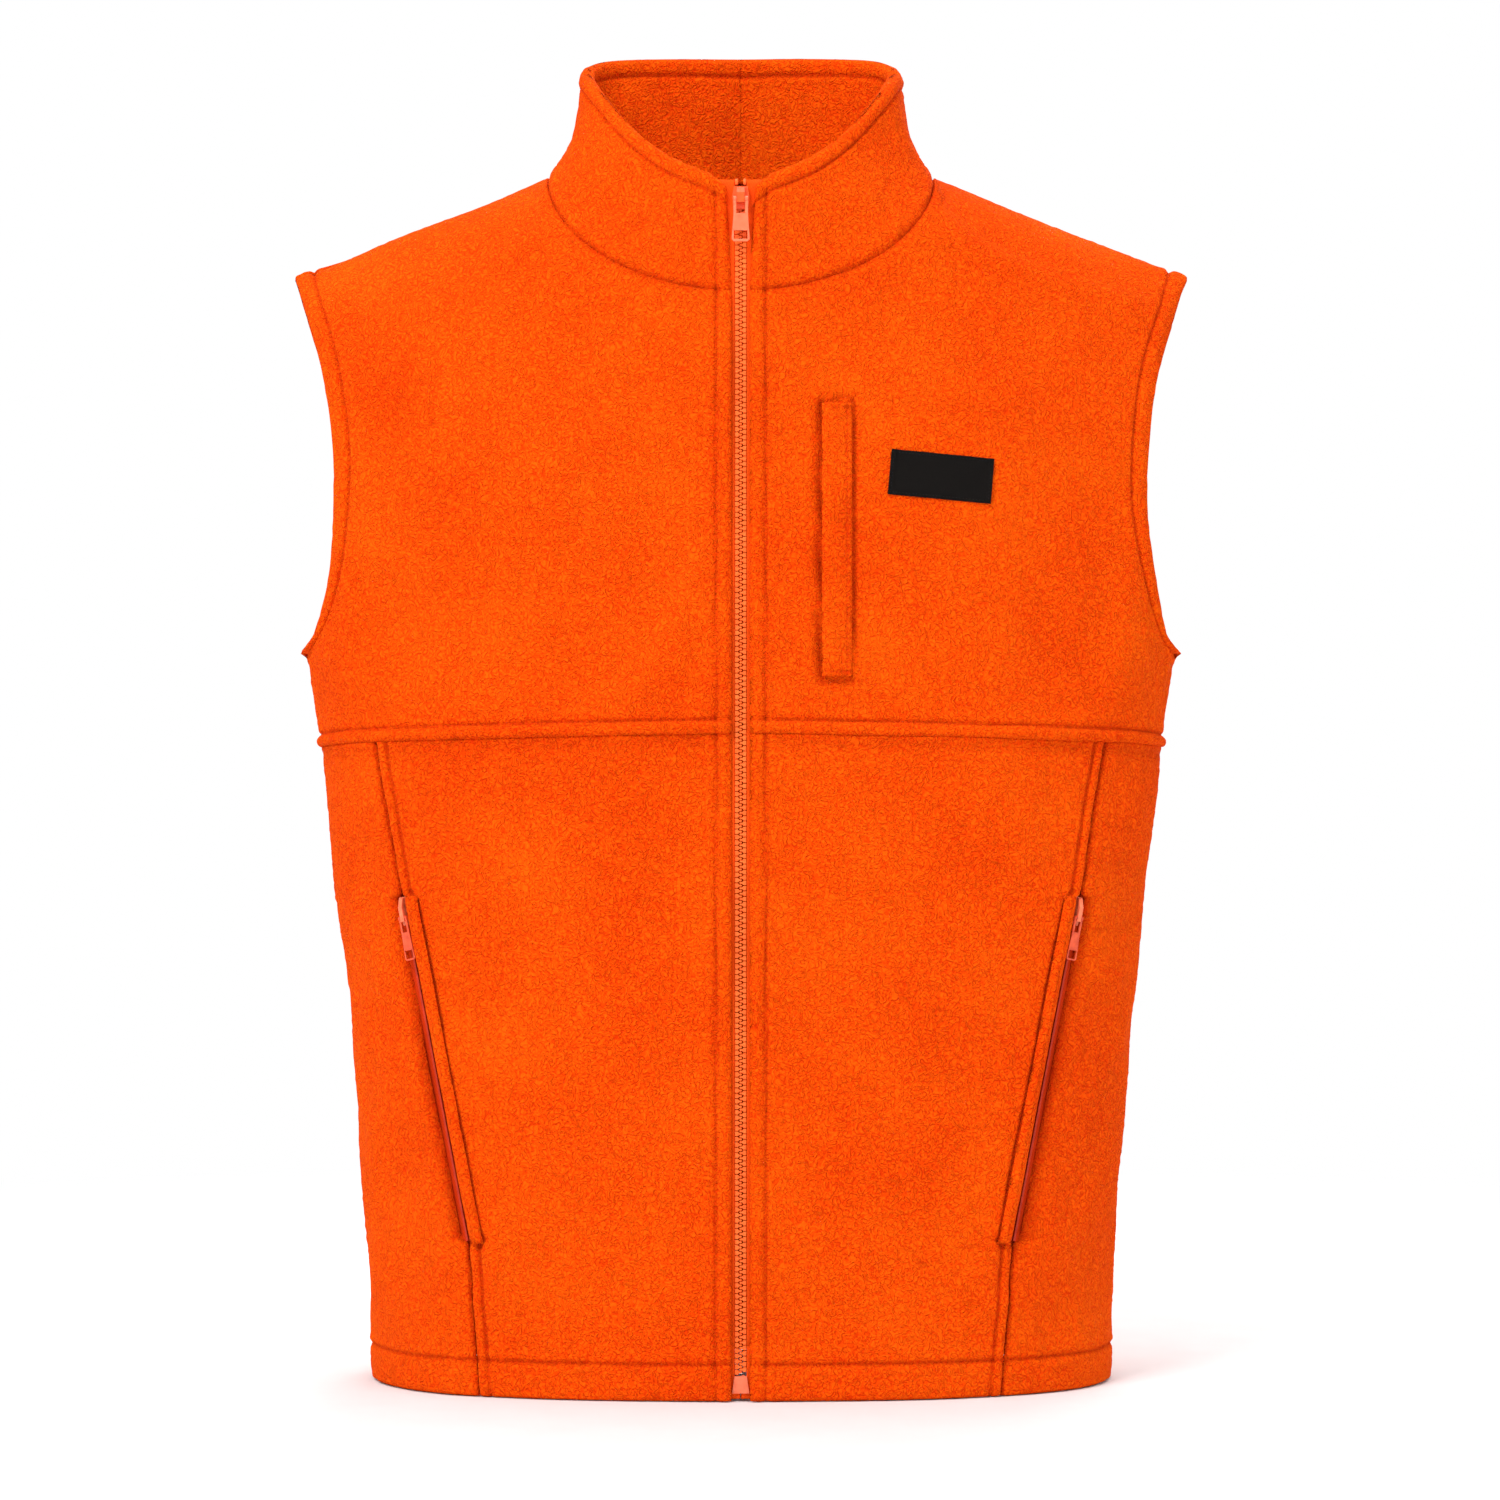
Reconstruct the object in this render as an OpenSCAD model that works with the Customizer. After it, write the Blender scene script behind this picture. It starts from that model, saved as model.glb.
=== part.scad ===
// Fleece zip vest, men's medium, standing open on its hem as if worn.
// Millimetres. +Z up, the front faces -Y, +X is the wearer's left.
// Origin: on the ground under the middle of the body, at hem level.

/* [Body] */
// Half of the width across the hem
hem_half = 213; // [190:1:250]
// How much wider each side is at the armpit than at the hem
side_flare = 37; // [0:1:60]
// How much wider each side is at the shoulder tip than at the armpit
tip_flare = 14; // [0:1:30]
// Height of the armpit above the hem
armpit_z = 416; // [360:1:480]
// Depth of the front at hem level, from the side seams
front_depth_hem = 116; // [90:1:140]
// Depth of the front at the top of the zip
front_depth_top = 92; // [70:1:120]
// Depth of the back at hem level
back_depth_hem = 104; // [80:1:130]
// How much deeper the back is at the shoulder blades
blade_depth = 12; // [0:1:30]
// Height of the shoulder blades
blade_z = 500; // [430:1:560]
// Squareness of the horizontal section, 2 is an ellipse
section_power = 2.5; // [2:0.1:4]
// Thickness of the fleece
fleece = 3; // [2:0.5:5]
// Gap left at every seam between two pieces of fleece
seam_gap = 0.8; // [0.4:0.1:2]
// Height of the facing inside the hem
hem_w = 22; // [12:1:35]
// Width of the facing inside each armhole
armhole_w = 12; // [8:1:20]
// Distance from the middle to the inner edge of the facing behind each front edge
facing_edge = 32; // [20:1:45]

/* [Shoulder and neck] */
// Distance of the neck end of the shoulder seam from the middle
neck_half = 111; // [90:1:130]
// Height of the neck end of the shoulder seam
neck_z = 692; // [640:1:760]
// Distance of the outer end of the shoulder seam from the middle
tip_half = 259; // [230:1:290]
// Height of the outer end of the shoulder seam
tip_z = 634; // [580:1:700]
// Height where the shoulders start to round over
shoulder_start_z = 470; // [430:1:540]
// How far the armhole cuts in at chest height
armhole_cut = 19; // [5:1:40]
// How much further in the front's armhole edge lies than the back's
front_cut = 6; // [0:1:15]
// How far the front of the neck seam drops below the shoulder point
neck_drop = 73; // [40:1:90]
// How far the back of the neck seam rises above the shoulder point
neck_rise = 10; // [0:1:25]

/* [Collar] */
// Half of the width across the collar's top edge
collar_half = 92; // [75:1:110]
// Height of the collar's top edge at the zip
collar_front_z = 683; // [660:1:720]
// Height of the collar's top edge at the side
collar_side_z = 750; // [720:1:780]
// Height of the collar's top edge at the back
collar_back_z = 767; // [740:1:800]
// Distance of the collar's back edge behind the side seams
collar_back_y = 50; // [35:1:70]
// How much the collar narrows half way up, as a share of its width
collar_waist = 0.04; // [0:0.01:0.1]
// Radius of the hanger loop, to the middle of its cord
loop_r = 24; // [15:1:35]
// Thickness of the hanger loop's cord
loop_cord = 2.4; // [1.5:0.1:4]
// Width of the tape that covers the seam inside the back of the neck
neck_tape_w = 10; // [6:1:14]

/* [Yoke, pockets and label] */
// Height of the seam under the yoke at the zip
yoke_z = 370; // [320:1:420]
// How much lower the yoke seam is at the side
yoke_drop = 8; // [0:1:20]
// Hand pocket opening, lower end: distance from the middle and height
pocket_low = [154, 86];
// Hand pocket opening, upper end: distance from the middle and height
pocket_high = [192, 278];
// Width of the hand pocket opening between the two panels
pocket_gap = 7; // [6:0.5:10]
// Width of the rolled welt along a pocket
welt_w = 6.5; // [4:0.5:10]
// Lower and upper ends of the hand pocket bag
hand_bag_z = [52, 300];
// Distance from the middle to the inner edge of the hand pocket bag
hand_bag_x = 60; // [40:1:90]
// Chest pocket welt: distance from the middle of its inner edge
chest_x = 46; // [30:1:80]
// Chest pocket welt: width
chest_w = 16; // [10:1:25]
// Chest pocket welt: lower and upper ends
chest_z = [401, 556];
// Width of the chest pocket bag
chest_bag_w = 98; // [70:1:110]
// Label: distance from the middle, height
label_at = [112, 514];
// Label: width and height
label_size = [58, 25.5];
// Label: turn seen from the front
label_turn = -5; // [-20:1:20]

/* [Main zip] */
// Half of the opening between the two front edges
front_edge = 5.2; // [4:0.1:8]
// Height of one tooth pitch on one side
tooth_pitch = 3; // [2.5:0.1:4]
// Height of one tooth along the chain
tooth_h = 1.2; // [0.8:0.1:1.4]
// Thickness of the teeth through the chain
tooth_t = 2.4; // [2:0.1:3]
// How far a tooth reaches from the middle to its outer end
tooth_out = 3.2; // [2.5:0.1:4]
// How far a tooth reaches past the middle, between its neighbours
tooth_in = 0.7; // [0:0.1:1]
// Distance of the tape's outer edge from the middle
tape_half = 13; // [10:1:20]
// Thickness of the woven tape
tape_t = 0.7; // [0.4:0.1:1.2]
// Where the fixed lower end of the zip meets the part that opens
zip_split_z = 30; // [26:1:160]
// Lower end of the slider when the vest is closed
slider_z = 664; // [600:1:670]
// Length of the slider
slider_len = 13; // [9:0.5:16]
// Half of the width of the slider's plates at the wide upper end
slider_half = 4.8; // [4:0.1:6]
// Length of the pull from its pin
pull_len = 24; // [20:1:45]
// Width of the pull at its lower end
pull_w = 10.2; // [6:0.2:12]

/* [Pocket zips] */
// Length of the pocket slider
pocket_slider_len = 16; // [9:0.5:20]
// Length of the pocket pull from its pin
pocket_pull_len = 24; // [15:1:35]
// Width of the pocket pull
pocket_pull_w = 6.4; // [4:0.2:7]

/* [Hidden] */

$fn = 32;
orange = [0.93, 0.27, 0.10];
deep_orange = [0.80, 0.20, 0.07];
salmon = [0.93, 0.55, 0.42];
black = [0.06, 0.06, 0.07];
// Distance of the chain's middle plane behind the outer face of the fleece
chain_inset = fleece + 1;
pocket_inset = fleece + 1.5;
// Distances of the inner layers behind the outer face of the fleece
facing_inset = chain_inset + 1.1;
band_inset = fleece + 1.8;
tape_inset = fleece + 3;
bag_inset = 7;
lining_t = 1.5;
// The shoulder line, and how the side and the armhole curve
shoulder_slope = (neck_z - tip_z) / (tip_half - neck_half);
side_curve = 1.5;
armhole_skew = 0.75;
// The collar starts this far above the neck seam, and its halves stop just short of the middle
collar_lift = 2.2 * seam_gap;
collar_end = 179.6;
lining_end = 178.6;
// How fast the hand pocket seam leans below and above the pocket
low_lean = 0.09;
high_lean = 0.17;
// Running gap between a pin and the eye that turns on it
eye_gap = 0.1;

// ---- plain maths ----
function mix(a, b, t) = a + (b - a) * t;
function unit(v) = v / norm(v);
function root_power(base, power) = pow(max(0, base), power);

// ---- the worn shape: half-width and depth at every height ----
function half_width(z) = z <= armpit_z
  ? hem_half + side_flare * pow(max(0, z) / armpit_z, side_curve)
  : hem_half + side_flare + tip_flare * (z - armpit_z) / (tip_z - armpit_z);
function shoulder_top(x) = neck_z + shoulder_slope * (neck_half - abs(x));
function round_over(x, z) =
  root_power(1 - pow(max(0, z - shoulder_start_z) / (shoulder_top(x) - shoulder_start_z), 2), 0.5);
function section(x, z) =
  root_power(1 - pow(abs(x) / half_width(z), section_power), 1 / section_power);
function zip_depth(z) = mix(front_depth_hem, front_depth_top, z / collar_front_z);
function front_depth(x, z) = zip_depth(z) / round_over(0, z) * section(x, z) * round_over(x, z);
function back_depth(x, z) =
  (back_depth_hem + blade_depth * sin(90 * min(1, z / blade_z))) * section(x, z) * round_over(x, z);
function front_point(x, z) = [x, -front_depth(x, z) - seam_gap / 2, z];
function back_point(x, z) = [x, back_depth(x, z) + seam_gap / 2, z];

// Angle round the section at which the front reaches x, 0 at the zip and 90 at the side seam
function section_angle(x, z) = asin(min(1, pow(abs(x) / half_width(z), section_power / 2)));
function section_x(angle, z) = half_width(z) * root_power(sin(angle), 2 / section_power);

// ---- the lines the pieces are cut along ----
function yoke_seam(u) = yoke_z - yoke_drop * u;
function armhole_z(t) = mix(armpit_z, tip_z, t);
function armhole_x(t) =
  mix(hem_half + side_flare, tip_half, t) - armhole_cut * sin(180 * pow(t, armhole_skew));
function front_inset(t) = front_cut * sin(180 * t * t);
function neck_x(angle) = neck_half * sin(angle);
function neck_seam_z(angle) = angle <= 90
  ? neck_z - neck_drop * cos(angle)
  : neck_z + neck_rise * pow(cos(angle), 2);
function neck_point(angle) = angle <= 90
  ? front_point(neck_x(angle), neck_seam_z(angle))
  : back_point(neck_x(angle), neck_seam_z(angle));
// Distance of the hand pocket seam from the middle
function pocket_seam(z) = z < pocket_low[1]
  ? pocket_low[0] - low_lean * (pocket_low[1] - z)
  : z < pocket_high[1]
    ? mix(pocket_low[0], pocket_high[0],
          (z - pocket_low[1]) / (pocket_high[1] - pocket_low[1]))
    : pocket_high[0] + high_lean * (z - pocket_high[1]);
// Half of the gap between the two panels along that seam
function pocket_half_gap(z) =
  z > pocket_low[1] - 1 && z < pocket_high[1] + 1 ? pocket_gap / 2 : seam_gap / 2;

// ---- a sheet of cloth over a grid of points ----
function grid_normal(grid, i, j, level) = let (
    a = grid[max(0, i - 1)][j],
    b = grid[min(len(grid) - 1, i + 1)][j],
    c = grid[i][max(0, j - 1)],
    d = grid[i][min(len(grid[0]) - 1, j + 1)],
    n = cross(b - a, d - c))
  level ? unit([n[0], n[1], 0]) : unit(n);
// Keeps a layer on its own side of the side and shoulder seams
function keep_side(p, side) =
  side == 0 ? p : [p[0], side * max(side * p[1], seam_gap / 2), p[2]];
function quad(a, b, c, d) = [[a, b, c], [a, c, d]];

// rows and columns of `shape(u, v)`, from `outer` outside the surface to `outer - thick`
module sheet(shape, us, vs, outer, thick, level = false, side = 0) {
  nu = len(us) - 1;
  nv = len(vs) - 1;
  grid = [for (u = us) [for (v = vs) shape(u, v)]];
  normals = [for (i = [0:nu]) [for (j = [0:nv]) grid_normal(grid, i, j, level)]];
  face = [for (i = [0:nu]) for (j = [0:nv])
    keep_side(grid[i][j] + outer * normals[i][j], side)];
  back = [for (i = [0:nu]) for (j = [0:nv])
    keep_side(grid[i][j] + (outer - thick) * normals[i][j], side)];
  count = len(face);
  function f(i, j) = i * (nv + 1) + j;
  function b(i, j) = count + i * (nv + 1) + j;
  skins = [for (i = [0:nu - 1]) for (j = [0:nv - 1]) each concat(
    quad(f(i, j), f(i, j + 1), f(i + 1, j + 1), f(i + 1, j)),
    quad(b(i, j), b(i + 1, j), b(i + 1, j + 1), b(i, j + 1)))];
  rims = [for (i = [0:nu - 1]) each concat(
    quad(f(i, 0), f(i + 1, 0), b(i + 1, 0), b(i, 0)),
    quad(f(i + 1, nv), f(i, nv), b(i, nv), b(i + 1, nv)))];
  ends = [for (j = [0:nv - 1]) each concat(
    quad(f(0, j + 1), f(0, j), b(0, j), b(0, j + 1)),
    quad(f(nu, j), f(nu, j + 1), b(nu, j + 1), b(nu, j)))];
  polyhedron(concat(face, back), concat(skins, rims, ends), convexity = 8);
}

function steps(n) = [for (i = [0:n]) i / n];
// Steps that are closer together near both ends
function eased_steps(n) = [for (i = [0:n]) (1 - cos(180 * i / n)) / 2];

module on_right() {
  mirror([1, 0, 0])
    children();
}

// ---- fleece panels, drawn for the wearer's left ----
// Where the armpit lies up a yoke's outer edge, and the neck point along its top edge
armpit_v = 0.22;
neck_u = 0.5;
// Boundaries of a yoke as [x, z]: outer edge, top edge and bottom edge
function outer_edge(v, is_front = false) = v < armpit_v
  ? let (z = mix(yoke_z - yoke_drop, armpit_z, v / armpit_v)) [half_width(z), z]
  : let (t = (1 - cos(180 * (v - armpit_v) / (1 - armpit_v))) / 2)
    [armhole_x(t) - (is_front ? front_inset(t) : 0), armhole_z(t)];
function shoulder_edge(t) =
  let (x = mix(neck_half, tip_half, t)) [x, shoulder_top(x)];
function front_top_edge(u) = u < neck_u
  ? let (a = mix(asin(front_edge / neck_half), 90, u / neck_u)) [neck_x(a), neck_seam_z(a)]
  : shoulder_edge((u - neck_u) / (1 - neck_u));
function back_top_edge(u) = u < neck_u
  ? let (a = 180 - 90 * u / neck_u) [neck_x(a), neck_seam_z(a)]
  : shoulder_edge((u - neck_u) / (1 - neck_u));
function bottom_edge(u, x0) = let (
    z = yoke_seam(u),
    a = mix(section_angle(x0, z), 90, u))
  [section_x(a, z), z];
// Blends the four boundaries into one patch
function yoke_blend(u, v, x0, top0, top, is_front = false) =
  mix(bottom_edge(u, x0), top, v)
  + mix([x0, mix(yoke_z, top0[1], v)], outer_edge(v, is_front), u)
  - mix(mix([x0, yoke_z], top0, v), mix(outer_edge(0), outer_edge(1), v), u);

module left_front_yoke_cloth() {
  shape = function (u, v) let (
      p = yoke_blend(u, v, front_edge, front_top_edge(0), front_top_edge(u), true))
    front_point(min(p[0], half_width(p[1])), p[1]);
  sheet(shape, steps(20), steps(20), 0, fleece, false, -1);
}

module back_yoke() {
  shape = function (u, v) let (
      w = abs(u),
      p = yoke_blend(w, v, 0, back_top_edge(0), back_top_edge(w)),
      q = back_point(min(p[0], half_width(p[1])), p[1]))
    [u < 0 ? q[0] : -q[0], q[1], q[2]];
  color(orange)
    sheet(shape, [for (i = [-18:18]) i / 18], steps(20), 0, fleece, false, 1);
}

// Heights of the rows of a lower panel, with a pair of rows at each end of the pocket
lower_rows = concat(
  [for (i = [0:2]) mix(0, pocket_low[1] - 2, i / 3)],
  [pocket_low[1] - 2],
  [for (i = [0:6]) mix(pocket_low[1], pocket_high[1], i / 6)],
  [for (i = [0:1]) mix(pocket_high[1] + 2, yoke_z - seam_gap, i / 2)],
  [yoke_z - seam_gap]);
// Only the top row follows the yoke seam's dip, which has come this far at the pocket seam
pocket_dip = 0.72;
function row_dip(v, share) = v > yoke_z - 2 ? yoke_drop * share : 0;

module left_lower_front_cloth() {
  shape = function (u, v) let (
      z = v - row_dip(v, pocket_dip * u),
      x1 = pocket_seam(z) - pocket_half_gap(v),
      a = mix(section_angle(front_edge, z), section_angle(x1, z), u))
    front_point(section_x(a, z), z);
  sheet(shape, steps(10), lower_rows, 0, fleece, true, -1);
}

module left_side_front_cloth() {
  shape = function (u, v) let (
      z = v - row_dip(v, mix(pocket_dip, 1, u)),
      x0 = pocket_seam(z) + pocket_half_gap(v),
      a = mix(section_angle(x0, z), 90, u))
    front_point(section_x(a, z), z);
  sheet(shape, steps(10), lower_rows, 0, fleece, true, -1);
}

module back_lower() {
  shape = function (u, v) let (
      z = v * (yoke_seam(abs(u)) - seam_gap),
      x = section_x(90 * abs(u), z),
      q = back_point(x, z))
    [u < 0 ? q[0] : -q[0], q[1], q[2]];
  color(orange)
    sheet(shape, [for (i = [-18:18]) i / 18], steps(12), 0, fleece, true, 1);
}

// ---- collar ----
function collar_top(angle) = let (
    c = cos(angle),
    flat = root_power(abs(c), 0.8))
  angle <= 90
    ? [collar_half * root_power(sin(angle), 0.8), -front_depth_top * flat - seam_gap / 2,
       mix(collar_front_z, collar_side_z, root_power(sin(angle), 1.9))]
    : [collar_half * root_power(sin(angle), 0.8), collar_back_y * flat + seam_gap / 2,
       mix(collar_side_z, collar_back_z, root_power(-c, 0.5))];
// v runs up the collar from the neck seam to its top edge
function collar_point(angle, v) = let (
    low = neck_point(angle) + [0, 0, collar_lift],
    high = collar_top(angle),
    p = mix(low, high, v),
    x = p[0] * (1 - collar_waist * sin(180 * v)))
  [max(x, angle < 90 ? front_edge : seam_gap / 2), p[1], p[2]];

module left_collar_layer(outer, thick, low, high, last_angle) {
  first_angle = asin(front_edge / neck_half);
  shape = function (u, v) collar_point(mix(first_angle, last_angle, u), mix(low, high, v));
  sheet(shape, steps(26), steps(4), outer, thick);
}

// ---- inner layers ----
// A line `inset` inside the armhole edge, t from the armpit to the shoulder tip
function armhole_band(t, inset, is_front) = let (
    z = mix(armpit_z - inset, tip_z + shoulder_slope * inset, t),
    x = armhole_x(t) - inset * sin(90 * min(1, 4 * t)) - (is_front ? front_inset(t) : 0))
  [min(x, half_width(z)), z];

module left_armhole_facing_cloth() {
  shape = function (u, v) let (
      t = u < 1 ? u : 2 - u,
      p = armhole_band(t, armhole_w * v + 1, u < 1))
    u < 1 ? front_point(p[0], p[1]) : back_point(p[0], p[1]);
  // The ends of each half stop just short of the seams, where the loop passes from front to back
  half = [for (s = eased_steps(22)) mix(0.002, 0.998, s)];
  loop = concat(half, [for (s = half) 1 + s]);
  sheet(shape, loop, [0, 1], -band_inset, lining_t - 0.3);
}

module hem_facing() {
  shape = function (angle, v) let (
      side = angle < 180 ? 1 : -1,
      turn = angle < 180 ? angle : 360 - angle,
      a = turn < 90 ? turn : 180 - turn,
      z = hem_w * v,
      x = section_x(a, z),
      p = turn < 90 ? front_point(x, z) : back_point(x, z))
    [side * p[0], p[1], p[2]];
  start = section_angle(tape_half + 2, 0);
  color(deep_orange)
    sheet(shape, [for (i = [0:80]) mix(start, 360 - start, i / 80)], [0, 1],
      -band_inset, lining_t, true);
}

module left_front_facing_cloth() {
  top = neck_seam_z(0) - 5;
  shape = function (u, v) front_point(mix(front_edge, facing_edge, u), mix(zip_split_z, top, v));
  sheet(shape, steps(3), steps(12), -facing_inset, lining_t);
}

module neck_tape() {
  below_seam = 4;
  sweep = 65;
  shape = function (angle, v) let (
      a = angle < 180 ? angle : 360 - angle,
      p = back_point(neck_x(a), neck_seam_z(a) - below_seam - mix(neck_tape_w, 0, v)))
    [angle < 180 ? p[0] : -p[0], p[1], p[2]];
  color(black)
    sheet(shape, [for (i = [-14:14]) 180 + sweep * i / 14], steps(2), -tape_inset, 0.8);
}

// A half ring of cord hanging inside the back of the neck
module hanger_loop() {
  from_seam = 8;
  reach = back_point(0, neck_seam_z(180))[1] - band_inset - from_seam;
  color(black)
    translate([0, reach, neck_seam_z(180) - 4])
      rotate([90, 0, 0])
        rotate([0, 0, 180])
          rotate_extrude(angle = 180)
            translate([loop_r, 0])
              circle(d = loop_cord);
}

// ---- pockets ----
welt_out = 3;
welt_t = 2.2;
bag_t = 1;
module left_pocket_welt_cloth() {
  shape = function (u, v) let (
      z = mix(pocket_low[1] - 1, pocket_high[1] + 1, v),
      x = pocket_seam(z) - pocket_gap / 2 - mix(welt_w, 0.2, u))
    front_point(x, z);
  sheet(shape, steps(3), steps(12), welt_out, welt_t);
}

module left_pocket_bag_cloth() {
  shape = function (u, v) let (
      z = mix(hand_bag_z[0], hand_bag_z[1], v),
      x = mix(hand_bag_x, pocket_seam(z) + welt_w + 2.5, u))
    front_point(x, z);
  sheet(shape, steps(8), steps(10), -bag_inset, bag_t);
}

module chest_pocket_welt() {
  shape = function (u, v)
    front_point(mix(chest_x, chest_x + chest_w, u), mix(chest_z[0], chest_z[1], v));
  color(orange)
    sheet(shape, steps(3), steps(8), welt_out + 0.2, welt_t);
}

module chest_pocket_bag() {
  start = chest_x - 8;
  low = chest_z[0] - 12;
  high = chest_z[1] + 10;
  shape = function (u, v)
    front_point(mix(start, start + chest_bag_w, u), mix(low, high, v));
  color(deep_orange)
    sheet(shape, steps(6), steps(8), -facing_inset, bag_t);
}

module label_patch() {
  shape = function (u, v) let (
      a = (u - 0.5) * label_size[0],
      b = (v - 0.5) * label_size[1])
    front_point(label_at[0] + a * cos(label_turn) - b * sin(label_turn),
                label_at[1] + a * sin(label_turn) + b * cos(label_turn));
  label_t = 1;
  color(black)
    sheet(shape, steps(5), steps(3), label_t + 0.9, label_t);
}

// ---- main zip, drawn in the plane of the chain: +Z along it, -Y outward ----
zip_tilt = atan((front_depth_hem - front_depth_top) / collar_front_z);
module zip_plane() {
  translate([0, -front_depth_hem + chain_inset, 0])
    rotate([-zip_tilt, 0, 0])
      children();
}

module tape_strip(z0, z1) {
  inner = tooth_out + 0.05;
  translate([inner, -tape_t / 2, z0])
    cube([tape_half - inner, tape_t, z1 - z0]);
}

module tooth() {
  head = tooth_h * 0.3;
  rotate([90, 0, 0])
    linear_extrude(tooth_t, center = true)
      polygon([[-tooth_in, -head], [-tooth_in + 0.3, -tooth_h / 2], [tooth_out, -tooth_h / 2],
               [tooth_out, tooth_h / 2], [-tooth_in + 0.3, tooth_h / 2], [-tooth_in, head]]);
}

module teeth(z0, z1) {
  for (z = [z0:tooth_pitch:z1 - tooth_h])
    translate([0, 0, z + tooth_h / 2])
      tooth();
}

// The box at the foot of the zip, and where the tape below it and the teeth above it begin
box_foot = 4;
box_top = 13.5;
tape_foot = 1;
teeth_start = 15;
teeth_end = slider_z + 4;
upper_start = teeth_start + tooth_pitch * ceil((zip_split_z - teeth_start) / tooth_pitch);
half_pitch = tooth_pitch / 2;

module top_stop() {
  wide = 1.8;
  tall = 3.4;
  translate([tooth_out - wide, -tooth_t / 2, slider_z + slider_len + 1])
    cube([wide, tooth_t, tall]);
}

// The pin at the foot of the wearer's left tape, seated in the box
pin_x = 0.7;
pin_w = 1.6;
pin_foot = 6;
module insertion_pin() {
  color(salmon)
    zip_plane()
      translate([pin_x, -pin_w / 2, pin_foot])
        cube([pin_w, pin_w, teeth_start - pin_foot - 1]);
}

// The box's outside, `extra` larger all round
module box_block(extra) {
  box_t = 3.6;
  low_half = 4.8 + extra;
  top_half = 3.4 + extra;
  low = box_foot - extra;
  top = box_top + extra;
  rotate([90, 0, 0])
    linear_extrude(box_t + 2 * extra, center = true)
      polygon([[-low_half, low], [low_half, low], [top_half, top], [-top_half, top]]);
}

module retainer_box() {
  slot = 0.15; // room round the pin
  color(salmon)
    zip_plane()
      difference() {
        box_block(0);
        translate([pin_x - slot, -pin_w / 2 - slot, pin_foot - slot])
          cube([pin_w + 2 * slot, pin_w + 2 * slot, box_top]);
      }
}

// The tape beside the box, with a tab that half closes the gap under it
module lower_tape() {
  middle_gap = 0.2;
  difference() {
    union() {
      tape_strip(tape_foot, zip_split_z);
      translate([middle_gap, -tape_t / 2, tape_foot])
        cube([tooth_out, tape_t, box_foot - tape_foot]);
    }
    box_block(0.1);
  }
}

// ---- sliders and pulls, shared by the main zip and the pocket zips ----
slider_foot = 0.88; // width at the narrow lower end, as a share of the widest part
slider_clear = 0.3; // between a plate and the teeth or the coil

// Two plates joined by a post; `chain` is the thickness of what runs between them
module slider_shell(half, length, chain, plate, post) {
  inner = chain / 2 + slider_clear;
  low = half * slider_foot;
  top = half * 0.8;
  widest = length * 0.55;
  post_foot = length * 0.62;
  post_len = length * 0.3;
  for (side = [-1, 1])
    translate([0, side * (inner + plate / 2), 0])
      rotate([90, 0, 0])
        linear_extrude(plate, center = true)
          polygon([[-low, 0], [low, 0], [half, widest], [top, length], [-top, length],
                   [-half, widest]]);
  translate([-post / 2, -inner, post_foot])
    cube([post, 2 * inner, post_len]);
}

// Two lips on each side that leave a slot for the tape
module slider_lips(half, length, chain) {
  inner = chain / 2 + slider_clear;
  slot = tape_t / 2 + 0.25;
  lip = 0.8;
  for (across = [-1, 1], through = [-1, 1])
    translate([across * (half * slider_foot - lip / 2) - lip / 2, through < 0 ? -inner : slot, 0.2])
      cube([lip, inner - slot, length * 0.5]);
}

// A bridge along the outer plate with a cross pin near its foot; `pin` is [y, z, radius]
module crown(width, plate_y, pin, pin_len, length) {
  top = pin[0] - pin[2] - 0.7;
  foot = pin[1] - 2;
  head = length - 0.4;
  rotate([90, 0, 90])
    linear_extrude(width, center = true)
      polygon([[plate_y, foot], [plate_y, head], [mix(plate_y, top, 0.5), head - 0.6],
               [top, mix(foot, head, 0.6)], [top, foot]]);
  translate([0, pin[0], pin[1]])
    rotate([0, 90, 0])
      cylinder(r = pin[2], h = pin_len, center = true);
}

// A flat plate hanging from two eyes on prongs, with a window near its lower end
module pull(width, length, thick, pin_r, gap, eye_r) {
  neck = width * 0.4;
  ear = neck - gap / 2;
  rim = width * 0.13;
  difference() {
    union() {
      rotate([90, 0, 0])
        linear_extrude(thick, center = true)
          difference() {
            polygon([[-neck, 0], [neck, 0], [neck, -length * 0.4], [width / 2, -length + rim],
                     [width / 2 - rim, -length], [-width / 2 + rim, -length],
                     [-width / 2, -length + rim], [-neck, -length * 0.4]]);
            translate([-gap / 2, -length * 0.34])
              square([gap, length * 0.34 + 1]);
            translate([-width / 2 + rim, rim - length])
              square([width - 2 * rim, length * 0.2]);
          }
      for (side = [-1, 1])
        translate([side * (gap + ear) / 2, 0, 0])
          rotate([0, 90, 0])
            cylinder(r = eye_r, h = ear, center = true);
    }
    rotate([0, 90, 0])
      cylinder(r = pin_r + eye_gap, h = width + 2, center = true);
  }
}

main_plate = 1.2;
main_pin = [-5.4, 5.5, 0.8]; // y and z from the slider's foot, radius
module main_slider() {
  color(deep_orange)
    zip_plane()
      translate([0, 0, slider_z]) {
        slider_shell(slider_half, slider_len, tooth_t, main_plate, 2.4);
        slider_lips(slider_half, slider_len, tooth_t);
      }
}

module main_slider_crown() {
  color(orange)
    zip_plane()
      translate([0, 0, slider_z])
        crown(4.4, -tooth_t / 2 - slider_clear - main_plate, main_pin, 8, slider_len);
}

module main_pull() {
  color(salmon)
    zip_plane()
      translate([0, main_pin[0], slider_z + main_pin[1]])
        pull(pull_w, pull_len, 1.6, main_pin[2], 5, 1.5);
}

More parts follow.
